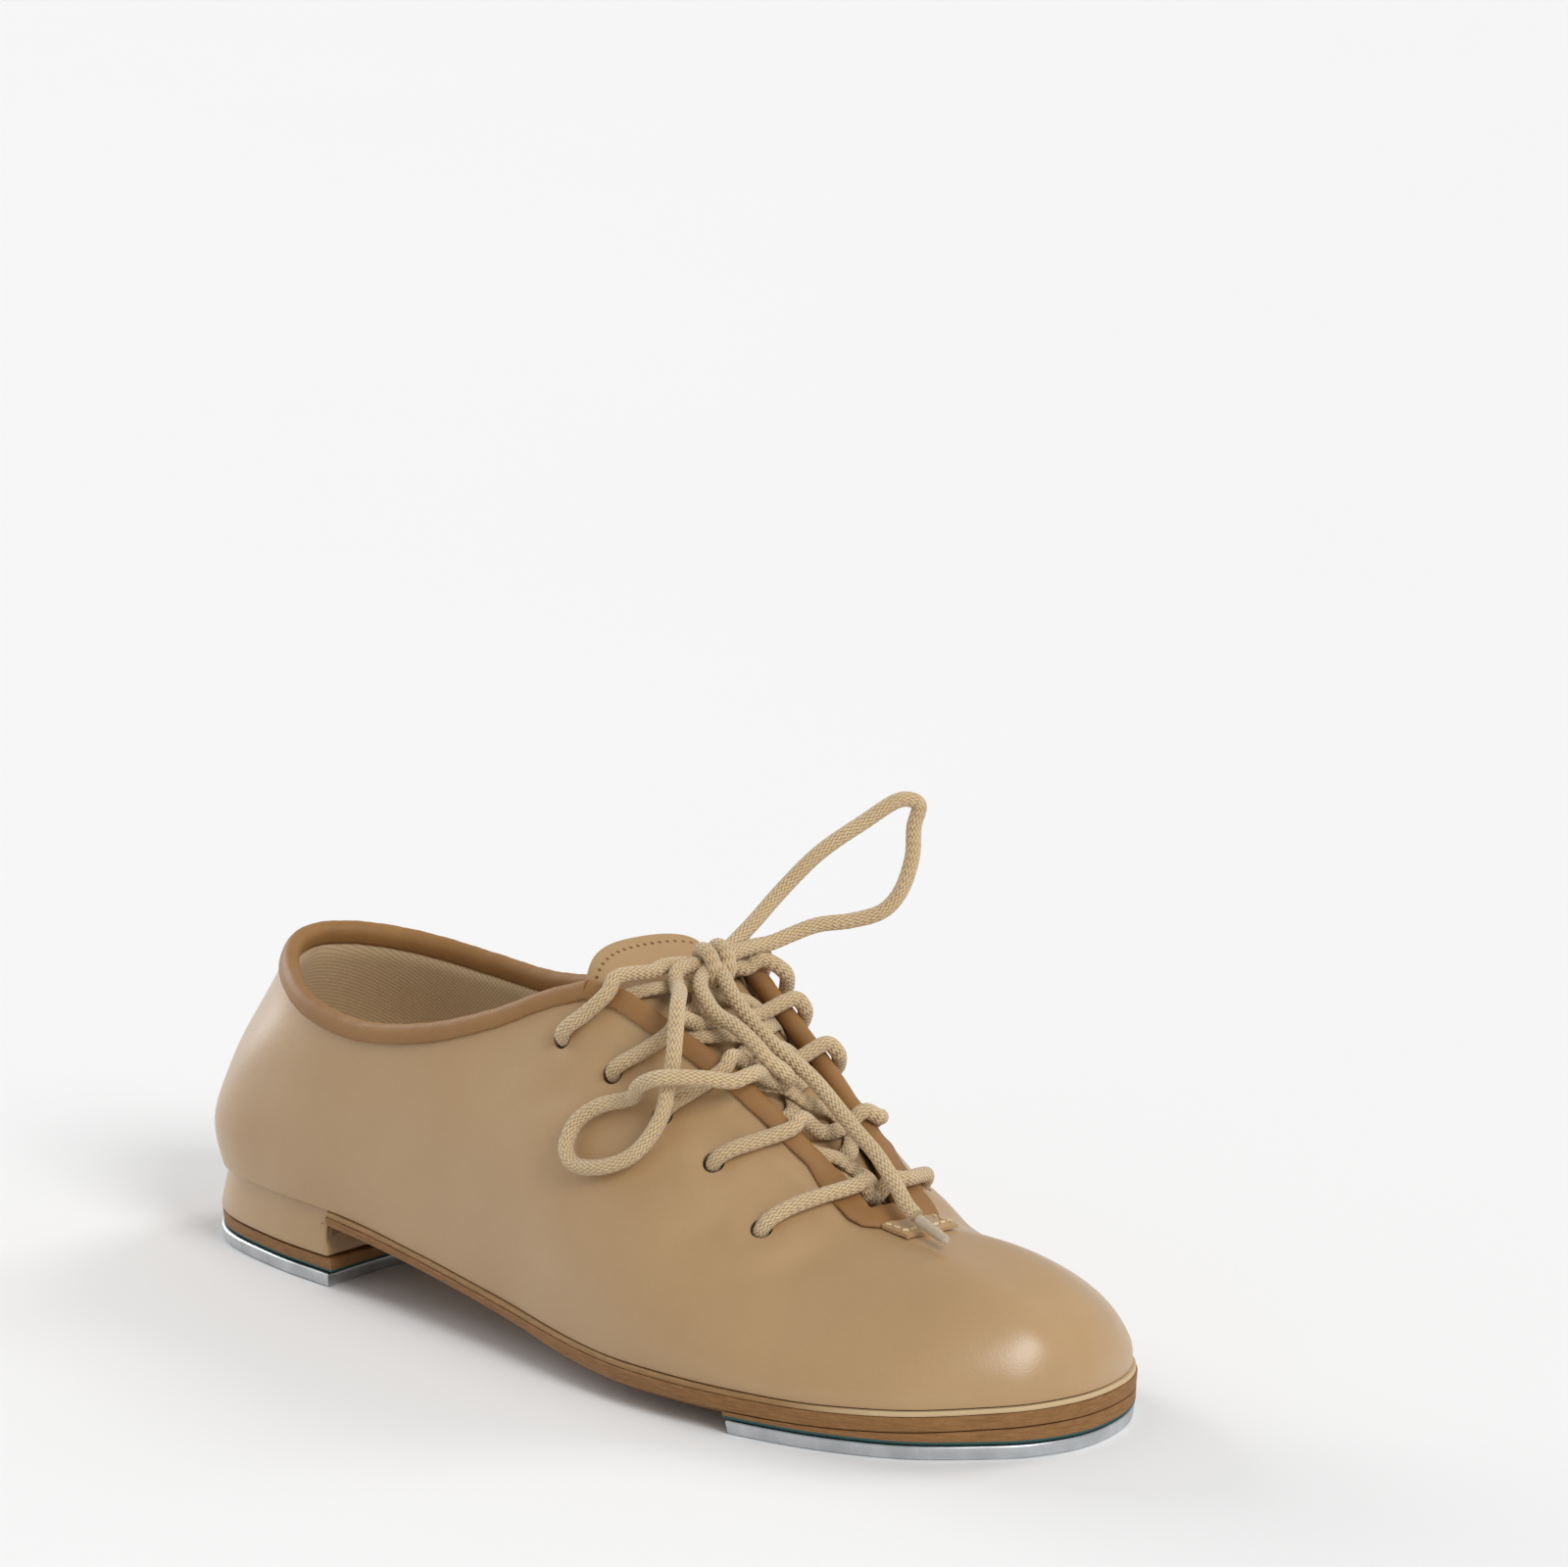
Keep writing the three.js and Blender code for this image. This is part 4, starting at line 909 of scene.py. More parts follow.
def relief(side, points, s, v):
    """How far the worn outer face stands out from the smooth form, in millimetres."""
    x, y, z = points.T
    # Slow waves and finer ones all over
    out = 0.1 * np.sin(x / 9 + z / 14 + 1) * np.sin(z / 8 - y / 13)
    out += 0.05 * np.sin(x / 4.1 - z / 5.3 + 1) * np.sin(y / 6 + z / 9)
    off_ridge = smooth((2 - v) / 0.6)  # both sides agree where they meet
    for sign, dent_x, dent_z, wide, high, deep in DENTS:
        if sign == side.sign:
            up = z - dent_z - DENT_LEAN * (x - dent_x)
            shape = np.exp(-(((x - dent_x) / wide) ** 2) - (up / high) ** 2)
            out -= deep * shape * off_ridge
    flex = bell(x - 78, 13) * np.clip((z - 14) / 14, 0, 1)
    out -= FLEX_CREASE * flex * (1 + np.sin(x / 1.9 + 0.25 * z + 0.6 * np.sin(y / 7)))
    beside_lacing = smooth((s - 4.9) / 0.6) * smooth((9.4 - s) / 0.6)
    out += FACING_ROLL * beside_lacing * bell(v - 0.9, 0.045)
    out += COUNTER_BULGE * bell(z - seat(x) - 9, 7.5) * smooth((-84 - x) / 26)
    for hole in eyelets[0 if side is LATERAL else 1]:
        d = np.linalg.norm(points - hole.point, axis=1)
        out -= EYELET_DIMPLE * bell(d, 3.4) - EYELET_RING * bell(d - 6, 2.2)
    return out


def patch(side, s, v, depth, thickness, worn=False):
    """Front and back points of a sheet that lies at a depth under the outer face."""
    s, v = np.broadcast_arrays(s, v)
    shape = (*s.shape, 3)
    s, v = s.ravel(), v.ravel()
    depth, thickness = (
        np.broadcast_to(size, shape[:2]).ravel()[:, None] for size in (depth, thickness)
    )
    face, normal = skin(side, s, v), skin_normal(side, s, v)
    out = relief(side, face, s, v)[:, None] if worn else 0
    front = face - normal * (depth - out)
    back = face - normal * (depth + thickness)
    return front.reshape(shape), back.reshape(shape)


def both_sides(*sheet):
    return [patch(side, *sheet) for side in SIDES]


def column(low, high, count):
    return np.linspace(low, high, count + 1)[None, :]


def row(low, high, count):
    return np.linspace(low, high, count + 1)[:, None]


def punch(piece):
    """Cuts a hole through a piece at each eyelet."""
    rods = []
    for hole in eyelets[0] + eyelets[1]:
        base = hole.point - hole.normal * 8
        rods.append(lathed([(EYELET_RADIUS, 0), (EYELET_RADIUS, 14)], base, hole.normal, 28))
    drill(piece, join_parts("punches", rods))


def relax(piece, share, times):
    """Smooths a piece's surface where share of its points, in millimetres, is above 0."""
    count = len(piece.data.vertices)
    points = np.zeros(count * 3)
    piece.data.vertices.foreach_get("co", points)
    points = points.reshape(-1, 3)
    edges = np.zeros(len(piece.data.edges) * 2, np.int64)
    piece.data.edges.foreach_get("vertices", edges)
    a, b = edges.reshape(-1, 2).T
    weight = share(points / MM - SHIFT)[:, None] * 0.5
    near = (weight[a, 0] > 0) & (weight[b, 0] > 0)
    ends = np.concatenate([a[near], b[near]])
    others = np.concatenate([b[near], a[near]])
    uses = np.bincount(ends, minlength=count)[:, None]
    weight = np.where(uses > 2, weight, 0)
    for _ in range(times):
        total = [np.bincount(ends, points[others, k], count) for k in range(3)]
        middle = np.stack(total, 1) / np.maximum(uses, 1)
        points = points + weight * (middle - points)
    piece.data.vertices.foreach_set("co", points.ravel())
    piece.data.update()


def toe_share(points):
    """1 over the toe, where the last pulls the leather smooth, and 0 on the rest."""
    x, _, z = points.T
    return smooth((x - 70) / 14) * smooth((z - seat(x) - 3) / 6)


def add_upper():
    long, short = HEEL_BACK * STATION_STEPS, THROAT * STATION_STEPS
    walls = both_sides(row(0, HEEL_BACK, long), column(0, 1, UP_STEPS), 0, LEATHER, True)
    crowns = both_sides(row(0, THROAT, short), column(1, 2, CROWN_STEPS), 0, LEATHER, True)
    upper = sheet_piece("upper_leather", walls + crowns, CREASE)
    relax(upper, toe_share, 150)
    punch(upper)
    place(upper, "tan_leather", "bend", [
        "vamp", "bend_leather_lateral", "bend_leather_medial", "quarter_lateral", "quarter_medial",
    ])


LINING_RISE = 1.1  # the lining turns out under the binding at the edges


def add_lining():
    up, over = column(0, 1, 30), column(1, 2, 12)
    wall_depth = LINING_DEPTH - LINING_RISE * smooth((up - 0.95) / 0.05)
    crown_depth = LINING_DEPTH - LINING_RISE + LINING_RISE * smooth((over - 1) / 0.2)
    walls = both_sides(row(0, HEEL_BACK, 120), up, wall_depth, LINING)
    crowns = both_sides(row(0, THROAT, 40), over, crown_depth, LINING)
    lining = sheet_piece("upper_lining", walls + crowns, CREASE)
    punch(lining)
    place(lining, "lining_cloth", "bend", [
        "vamp_lining", "bend_lining_lateral", "bend_lining_medial",
        "quarter_lining_lateral", "quarter_lining_medial",
    ])


PUFF_END = 3  # stations
COUNTER_START = 11.25
COUNTER_TOP = 2 / 3
COLLAR_START = 9.6
COLLAR_LOW, COLLAR_HIGH = 0.72, 0.97


def add_stiffeners():
    inner = (STIFFENER_DEPTH + SLACK, STIFFENER - 2 * SLACK)
    for side, name in zip(SIDES, SIDE_NAMES):
        stations = row(THROAT + 0.1, CORNER + 0.2, 40)
        tape = sheet_piece(
            f"facing_tape_{name}", [patch(side, stations, column(0.7, 0.97, 8), *inner)]
        )
        punch(tape)
        place(tape, "fibre_board", "bend", [f"eyestay_tape_{name}"])
    stations = row(0, PUFF_END, 36)
    puff = both_sides(stations, column(0, 1, 24), STIFFENER_DEPTH, STIFFENER)
    puff += both_sides(stations, column(1, 2, 12), STIFFENER_DEPTH, STIFFENER)
    place(sheet_piece("toe_stiffener", puff), "fibre_board", "forefoot", ["toe_puff"])
    stations = row(COUNTER_START, HEEL_BACK, 45)
    cup = both_sides(stations, column(0, COUNTER_TOP, 24), STIFFENER_DEPTH, STIFFENER)
    place(sheet_piece("heel_stiffener", cup), "fibre_board", "rearfoot", ["heel_counter"])
    up = column(COLLAR_LOW, COLLAR_HIGH, 14)
    middle = (COLLAR_LOW + COLLAR_HIGH) / 2
    crown = np.sqrt(np.clip(1 - ((up - middle) / 0.13) ** 2, 0, 1))
    thick = inner[1] * (0.35 + 0.65 * crown)
    collar = both_sides(row(COLLAR_START, HEEL_BACK, 50), up, inner[0], thick)
    pad = place(sheet_piece("collar_padding", collar), "foam", "rearfoot", ["collar_foam"])


# ------------------------------------------------------------------ tongue

TONGUE_LOW = 4 / 6
TONGUE_ROOT = THROAT - 0.4
TONGUE_TOP = CORNER + 0.05
TONGUE_REACH = 6.2  # how far its free end stands out past the lacing
TONGUE_CURL = 0.012
TONGUE_ROUND = 0.4
REACH_STEPS = 14
PRICK_INSET = 2.8
PRICK_SPACING = 1.9
PRICK_SECTION = [(0.3, 0), (0.42, 0.6), (0.5, 2.4)]


def tongue_reach(v):
    """The free end is rounded off towards its sides."""
    return TONGUE_REACH * np.clip(1 - ((2 - v) / 1.4) ** 2.6, 0.02, 1) ** 0.45


def tongue_way():
    """The direction in which the free end goes on past the lacing."""
    return unit(ridge(TONGUE_TOP + 0.05) - ridge(TONGUE_TOP - 0.15))[0]


def tongue_patches(depth, thickness):
    patches = []
    way = tongue_way()
    share = np.linspace(0, 1, REACH_STEPS + 1)[1:, None, None]
    for side in SIDES:
        for v in (column(TONGUE_LOW, 1, 12), column(1, 2, 30)):
            front, back = patch(side, row(TONGUE_ROOT, TONGUE_TOP, 72), v, depth, thickness)
            step = share * tongue_reach(v)[0][None, :, None]
            inward = unit(back[-1:] - front[-1:])
            curl = inward * step**2 * -TONGUE_CURL
            near_end = np.clip((share - 0.86) / 0.14, 0, 1)
            round_off = TONGUE_ROUND * near_end**2 * (thickness > 1)
            free_front = front[-1:] + way * step + curl + inward * round_off
            free_back = back[-1:] + way * step + curl - inward * round_off * 0.6
            patches.append((np.concatenate([front, free_front]), np.concatenate([back, free_back])))
    return patches


def tongue_pricks(patches):
    """The row of pricked holes round the tongue's free end."""
    pricks = []
    for low in (0, 2):
        pair = patches[low : low + 2]
        edges = [front[-1] - tongue_way() * PRICK_INSET for front, _ in pair]
        outs = [unit(front[-2] - back[-2]) for front, back in pair]
        line, out = (np.concatenate([first, second[1:]]) for first, second in (edges, outs))
        spots = resample(line[5:], PRICK_SPACING)
        if low > 0:
            spots = spots[:-1]  # the one on the ridge belongs to both sides
        for spot in spots:
            way = out[np.linalg.norm(line - spot, axis=1).argmin()]
            pricks.append(lathed(PRICK_SECTION, spot - way * 0.75, way, 10))
    return join_parts("pricks", pricks[1:])


def add_tongue():
    patches = tongue_patches(TONGUE_DEPTH, TONGUE_LEATHER)
    tongue = sheet_piece("tongue_leather", patches)
    drill(tongue, tongue_pricks(patches))
    place(tongue, "tan_leather", "bend", ["tongue_lower", "tongue"], "tongue_leather")
    lining = sheet_piece("tongue_cloth", tongue_patches(TONGUE_LINING_DEPTH, LINING))
    place(lining, "lining_cloth", "bend", ["tongue_lining_lower", "tongue_lining"])


# ------------------------------------------------------------------ bindings and throat tab

# Section of a binding folded over the edge, from its outer leg over the crown to its inner
# leg: outward from the middle of the leather, and up from the bead's middle
BINDING_PROFILE = np.array([
    (1.2, -3.15), (1.5, -2.9), (1.62, -2.2), (1.66, -1.2), (1.55, -0.3), (1.3, 0.4),
    (0.8, 0.95), (0.15, 1.2), (-0.6, 1.2), (-1.25, 0.9), (-1.8, 0.4), (-2.15, -0.3),
    (-2.3, -1.2), (-2.3, -2.3), (-2.2, -3.0), (-1.9, -3.15), (-1.65, -2.4), (-0.9, -1.7),
    (0, -1.5), (0.75, -1.9), (0.82, -3.1),
])
LEG_TOP = -2.3  # points of the section below this are on its legs
BINDING_STEP = 0.9
THROAT_LEG = 2.4  # what the legs gain round the throat
MEDIAL_LEG = 2.8  # and what the outer leg gains on the medial side
AROUND_TOPLINE = [9.08, 9.5, 10, 10.6, 11.3, 12, 12.7, 13.3, 13.9, 14.45]


def edge_point(side, s):
    up = unit(slope_up(side, np.atleast_1d(s), np.ones(np.size(s))))
    return layer(side, s, 1, LEATHER / 2) + up * BEAD_RISE


def throat_point(side, v):
    back = unit(slope_along(side, np.array([float(THROAT)]), np.array([v])))
    return layer(side, THROAT, v, LEATHER / 2) + back * BEAD_RISE


def edge_knots(side, stations):
    """Knots of a binding along the edge of one side, each with its way out of the leather."""
    return [(edge_point(side, s)[0], skin_normal(side, s, 1)[0]) for s in stations]


def throat_knots(side, heights):
    return [(throat_point(side, v)[0], skin_normal(side, THROAT, v)[0]) for v in heights]


def near_shares(line, keys, soft, power):
    """How much each point of a line takes from each key, by how near they are."""
    away = np.linalg.norm(line[:, None] - np.array(keys)[None], axis=2)
    weight = 1 / (away + soft) ** power
    return weight / weight.sum(1, keepdims=True)


def no_more(line):
    """What a binding's legs gain where they are all as long as its section."""
    return np.zeros(len(line))


def binding(name, knots, node, body, leg=no_more, outer_leg=no_more):
    keys, outward = zip(*knots)
    line = curve_through(keys, BINDING_STEP)
    n = square_to(tangents(line), unit(near_shares(line, keys, 0.5, 3) @ np.array(outward)))
    u = np.cross(tangents(line), n)
    above = line.mean(0) + (0, 0, 8)
    if ((above - line) * u).sum() < 0:
        u = -u
    profile = np.repeat(BINDING_PROFILE[None], len(line), axis=0)
    legs = profile[:, :, 1] < LEG_TOP
    outer = profile[:, :, 0] > 0.5
    profile[:, :, 1] -= legs * leg(line)[:, None] + legs * outer * outer_leg(line)[:, None]
    count = np.arange(len(line))
    ripple = 0.07 * np.sin(count * 0.83) + 0.05 * np.sin(count * 2.1)
    profile[:, :, 0] *= 1 + 0.04 * ripple[:, None]
    profile[:, :, 1] += 0.6 * ripple[:, None]
    place(add_mesh(name, *sweep(line, n, u, profile), 60), "binding", body, [node])


def add_bindings():
    up = list(np.linspace(9.06, THROAT + 0.5, 9))
    lateral = edge_knots(LATERAL, up) + throat_knots(LATERAL, [1.3, 1.7])
    medial = throat_knots(MEDIAL, [1.7, 1.3]) + edge_knots(MEDIAL, up[::-1])
    binding("lacing_binding", lateral + medial, "lacing_edge_binding", "bend",
            lambda line: THROAT_LEG * smooth((line[:, 0] - 60) / 6),
            lambda line: MEDIAL_LEG * smooth((line[:, 1] - 1) / 7))
    lateral = edge_knots(LATERAL, [*AROUND_TOPLINE, HEEL_BACK])
    medial = edge_knots(MEDIAL, AROUND_TOPLINE[::-1])
    binding("topline_edge_binding", lateral + medial, "topline_binding", "rearfoot")


TAB_LIFT = 0.25
TAB_LEATHER = 0.9
TAB_FACE = -TAB_LIFT - TAB_LEATHER
TAB_TOE, TAB_BACK = 4.42, 4.8  # stations
TAB_WIDE = 0.94
TAB_TAPER = 0.25  # how much narrower it is towards the toe
TAB_ROUND = 0.35
SEAM_FRONT, SEAM_BACK = 4.5, 4.74  # stations
SEAM_WIDE = 0.78
STITCH = (1.5, 0.33)  # length and thickness
STITCH_SPACING = 2.0


def add_throat_tab():
    """A small stitched trapezoid over the foot of the lacing."""
    tabs = []
    for side in SIDES:
        s, v = np.broadcast_arrays(row(TAB_TOE, TAB_BACK, 14), 2 - column(0, 1, 16) * TAB_WIDE)
        narrow = 1 - TAB_TAPER * (TAB_BACK - s) / (TAB_BACK - TAB_TOE)
        v = 2 - (2 - v) * narrow
        edge = np.clip((2 - v) / narrow, 0, 1)
        rounding = TAB_ROUND * np.clip((edge - 0.85) / 0.15, 0, 1) ** 2
        rounding = rounding + TAB_ROUND * np.clip((SEAM_FRONT - s) / 0.08, 0, 1) ** 2
        tabs.append(patch(side, s, v, TAB_FACE + rounding, TAB_LEATHER - 0.1))
    place(sheet_piece("throat_tab_leather", tabs), "tan_leather", "bend", ["throat_tab"])

    def on_tab(side, s, share):
        return layer(side, s, 2 - share, TAB_FACE - 0.12)[0]

    line = [on_tab(LATERAL, SEAM_FRONT, share * SEAM_WIDE) for share in (0.82, 0.4, 0.0)]
    line += [on_tab(MEDIAL, SEAM_FRONT, share * SEAM_WIDE) for share in (0.4, 0.82)]
    ends = [on_tab(side, SEAM_BACK, 0.86 * TAB_WIDE) for side in SIDES]
    seams = [resample(np.array([ends[0], line[0]]), STITCH_SPACING)]
    seams.append(curve_through(line, STITCH_SPACING))
    seams.append(resample(np.array([line[-1], ends[1]]), STITCH_SPACING))
    stitches = [
        capsule(spot, way, (0.3, 0, 1), *STITCH)
        for seam in seams
        for spot, way in zip(seam, tangents(seam))
    ]
    place(join_parts("throat_tab_stitches", stitches), "tan_leather", "bend", look="thread")


# ------------------------------------------------------------------ laces

LACE_LIFT = 1.8
OVER_BEAD = 3.5
SHOULDER = 0.73 * OVER_BEAD
LACE_SIDES = 36
LACE_STEP = 0.5
WIDEST = 1.25  # a flattened lace spreads no more than this


def lace_mesh(name, line, flat=1.0, outward=None, radius=LACE_RADIUS):
    """A braided tube along a line, with its length and turn as UV. flat squashes it."""
    if outward is None:
        a, b = carried_frames(line)
    else:
        a = square_to(tangents(line), outward)
        b = np.cross(tangents(line), a)
    count = len(line)
    run = travelled(line) * MM
    turn = np.arange(LACE_SIDES) / LACE_SIDES
    angle = 2 * math.pi * turn
    p = run[:, None] * BRAID_PER_METRE + STRANDS_AROUND * turn[None]
    q = run[:, None] * BRAID_PER_METRE - STRANDS_AROUND * turn[None]
    over = (np.floor(p) + np.floor(q)) % 2
    weave = np.where(over > 0.5, np.abs(np.sin(math.pi * p)), np.abs(np.sin(math.pi * q)))
    size = radius * (0.94 + 0.08 * weave)
    thin = (np.ones(count) * flat)[:, None]
    wide = np.minimum(1 / np.sqrt(thin), WIDEST)
    profile = np.stack([size * np.cos(angle) * thin, size * np.sin(angle) * wide], -1)
    piece = add_mesh(name, *sweep(line, a, b, profile), 70)
    corners = np.zeros(len(piece.data.loops), np.int64)
    piece.data.loops.foreach_get("vertex_index", corners)
    ring, spoke = corners // LACE_SIDES, corners % LACE_SIDES
    turns = spoke / LACE_SIDES
    quads = turns[: 4 * LACE_SIDES * (count - 1)].reshape(-1, 4)
    over_seam = (quads.max(1) - quads.min(1)) > 0.5
    quads += over_seam[:, None] & (quads < 0.5)
    uv = piece.data.uv_layers.new(name="braid")
    uv.data.foreach_set("uv", np.stack([run[ring], turns], 1).ravel())
    return piece


# How a lace leaves its eyelet: share of the way to the edge, and depth under the outer face
OUT_OF_EYELET = [(-0.03, 3.4), (-0.01, 1.2), (0.07, -0.9), (0.24, -2.05), (0.55, -2.5)]


def out_of_eyelet(hole):
    """Knots of a lace that comes up through its eyelet, along the facing and over the edge."""
    spots = []
    for share, depth in OUT_OF_EYELET:
        s = hole.s + (hole.edge_s - hole.s) * share
        v = hole.v + (1 - hole.v) * share
        spots.append(layer(hole.side, s, v, depth)[0])
    out = skin_normal(hole.side, hole.edge_s, 1)[0]
    inward = unit(slope_up(hole.side, np.array([hole.edge_s]), np.array([1.0])))[0]
    bead = edge_point(hole.side, hole.edge_s)[0]
    spots.append(bead + out * OVER_BEAD - inward * 0.4)
    spots.append(bead + out * SHOULDER + inward * SHOULDER)
    return spots


def over_tongue(hole, v, lift=0.15):
    return layer(hole.side, hole.edge_s, v, TONGUE_DEPTH - LACE_LIFT - lift)[0]


TOP_ROWS = {
    "lateral": [(14.4, -9.6, 79.2), (13.4, -6, 79.6), (14.6, -1, 79.4), (16.5, 2.5, 79)],
    "medial": [(14.5, 13.2, 79.8), (15.2, 9, 79.6), (16.5, 5, 79)],
}
ROW_SPOTS = [(2,), (2,), (1.75, 2), (1.6, 2)]  # where each row lies on the tongue


def add_rows():
    for i, spots in enumerate(ROW_SPOTS):
        left, right = (holes[i] for holes in eyelets)
        knots = [*out_of_eyelet(left), *(over_tongue(left, v, 0.7) for v in spots)]
        knots += [over_tongue(right, 1.6), *out_of_eyelet(right)[::-1]]
        piece = lace_mesh(f"lace_across_{i + 1}", curve_through(knots, LACE_STEP))
        place(piece, "lace_cotton", "bend", [f"lace_row_{i + 1}"])
    for holes, name in zip(eyelets, SIDE_NAMES):
        line = curve_through([*out_of_eyelet(holes[-1]), *TOP_ROWS[name]], LACE_STEP)
        piece = lace_mesh(f"lace_across_5_{name}", line)
        place(piece, "lace_cotton", "rearfoot", [f"lace_row_5_{name}"])


UNDER_HEIGHTS = (0.97, 1.2, 1.6, 1.9)
UNDER_RADIUS = 1.45


def add_under_lace(name, first, last, lift):
    knots, outs, thins = [], [], []
    for hole, other, heights in (
        (first, last, UNDER_HEIGHTS), (last, first, UNDER_HEIGHTS[::-1]),
    ):
        for v in heights:
            reach = 0.38 * smooth((v - 0.97) / 1.03)
            s = hole.edge_s + (other.edge_s - hole.edge_s) * reach
            crown = smooth((v - 1.1) / 0.5)
            over = lift * smooth((v - 1.3) / 0.6) + (0.45 + 0.55 * crown)
            knots.append(layer(hole.side, s, v, TONGUE_DEPTH - 0.2 - over)[0])
            outs.append(skin_normal(hole.side, s, v)[0])
            thins.append(0.34 + 0.3 * crown)
    line = curve_through(knots, LACE_STEP)
    share = near_shares(line, knots, 0.3, 2)
    outward = unit(share @ np.array(outs))
    piece = lace_mesh(name, line, share @ np.array(thins), outward, UNDER_RADIUS)
    place(piece, "lace_cotton", "bend")


def add_under_laces():
    """Between the rows the lace crosses beneath the facings, pressed flat on the tongue."""
    lateral, medial = eyelets
    for i in range(4):
        add_under_lace(f"lace_under_{i + 1}_1", lateral[i], medial[i + 1], 0.1)
        add_under_lace(f"lace_under_{i + 1}_2", medial[i], lateral[i + 1], 1.6)


# The bow: each strand's body, and its knots from inside the knot outwards
STRANDS = {
    "loop_lateral": ("bend", [
        (16.4, 1.4, 79.2), (16.8, -3.2, 79.4), (17.8, -6.6, 78.8), (20.8, -9, 77),
        (26.6, -13.4, 77.8), (33.4, -19.9, 76.7), (36.8, -23.5, 71.8), (37.8, -25, 67),
        (38, -26.4, 62.6), (37.2, -28, 55.6), (33.2, -31.6, 48.3), (27.2, -34.8, 45.1),
        (19.8, -35.9, 44.6), (16.7, -35.2, 47), (16.8, -32.9, 51.7), (21, -30.3, 55.7),
        (27.8, -27.2, 58.3), (32.7, -29.6, 62), (38.8, -29.8, 64.9), (44.7, -23.6, 65),
        (47.9, -17.8, 64), (48.2, -14, 64.6), (47, -10.2, 64.3), (45.4, -6.4, 62),
        (45.8, -3.6, 60.9), (47.6, -2.7, 61.6), (48.4, -4.4, 63.6), (46.6, -7, 66.2),
        (42.5, -7.6, 69.2), (37.8, -8, 71.6), (31.1, -7.8, 73.4), (24.4, -5.6, 76.5),
        (21, -2.6, 77.8), (18.6, 1.4, 78.6),
    ]),
    "loop_medial": ("rearfoot", [
        (17, 6, 80.2), (16.2, 10, 82), (15.8, 13.4, 83.8), (16, 17, 86.4), (16.8, 23, 91.5),
        (19.5, 31, 98.7), (23.9, 39, 104.6), (28, 46.5, 109.2), (29.6, 49.5, 108),
        (28.8, 49, 103.2), (29.9, 47.5, 97.1), (30, 44, 90.2), (28.6, 40.5, 86.6),
        (25, 35, 84.8), (21.4, 29, 84.2), (19.4, 23, 82.6), (18.8, 18.5, 81.6),
        (18.2, 12.4, 81.4), (18.2, 8.6, 80.8), (18.2, 5, 79.8),
    ]),
    "end_front": ("bend", [
        (18.4, 3.6, 79.6), (21.6, 2, 78.9), (25.2, 0.6, 77), (28.5, -0.6, 75.2),
        (34.8, -1.4, 71.4), (43.2, -0.6, 66.2), (47.5, 0.6, 63.8), (51.5, 1.2, 61.4),
        (63.5, 0.8, 54), (70, 0.8, 50), (76, 0.4, 45.2), (80.2, -0.5, 42), (83.6, -0.9, 40.3),
    ]),
    "end_side": ("rearfoot", [
        (17.2, 5, 79), (17.2, 9.4, 77.8), (17.6, 12.8, 77), (18.8, 15.8, 78.5),
        (20.6, 20.4, 75.6), (16.5, 24.8, 70.5), (11.5, 27.4, 65.5), (9.8, 29.3, 59),
        (9.6, 31.3, 52), (9.6, 33.2, 45.5),
    ]),
}
# The plastic tips: name, body, start and end
AGLETS = {
    "end_front": ("front", "forefoot", (84.3, -1, 39.8), (94, -2, 37.4)),
    "end_side": ("side", "rearfoot", (9.6, 33.3, 45.1), (9.5, 34.9, 34)),
}
AGLET_RADIUS = 1.15
CORE_RADIUS = 0.86
KNOT_MIDDLE = (17.6, 3.6, 79.2)
KNOT_TURNS = np.linspace(-0.5 * math.pi, 3.1 * math.pi, 90)
KNOT_LONG, KNOT_HIGH, KNOT_PITCH = 4.3, 3.3, 1.75


def add_aglet(name, body, start, end):
    """A clear tip, and the end of the lace that shows inside it."""
    start, end = np.array(start, float), np.array(end, float)
    way = unit(end - start)
    long = float(np.linalg.norm(end - start))
    widths = [(0.9, 0), (1.06, 0.25), (1.02, 0.8), (0.97, 2.0), (0.95, long * 0.6)]
    widths += [(0.88, long - 1.2), (0.72, long - 0.4), (0.4, long)]
    shape = [(AGLET_RADIUS * wide, along) for wide, along in widths]
    tip = add_mesh(f"lace_tip_{name}", *lathed(shape, start, way, 28), 50)
    place(tip, "clear_tip", body, [f"aglet_{name}"])
    core = resample(np.array([start + way * 0.15, end - way * 1.0]), 0.4)
    inner = lace_mesh(f"lace_tip_core_{name}", core, radius=CORE_RADIUS)
    return tip, place(inner, "lace_cotton", body)


def add_bow():
    for name, (body, knots) in STRANDS.items():
        line = curve_through(knots, LACE_STEP)
        piece = place(lace_mesh(f"bow_{name}", line), "lace_cotton", body, [f"lace_{name}"])
        if name in AGLETS:
            add_aglet(*AGLETS[name])
    across = unit(np.array([0.2, 1.0, 0.12]))
    forward = unit(np.cross(across, [0, 0, 1.0]))
    wrap = (
        np.array(KNOT_MIDDLE)
        + np.outer(np.cos(KNOT_TURNS) * KNOT_LONG, forward)
        + np.outer(np.sin(KNOT_TURNS) * KNOT_HIGH, np.cross(forward, across))
        + np.outer((KNOT_TURNS / math.pi - 1.3) * KNOT_PITCH, across)
    )
    knot = lace_mesh("bow_knot", resample(wrap, LACE_STEP))
    place(knot, "lace_cotton", "rearfoot", ["lace_knot"])


# ------------------------------------------------------------------ sole

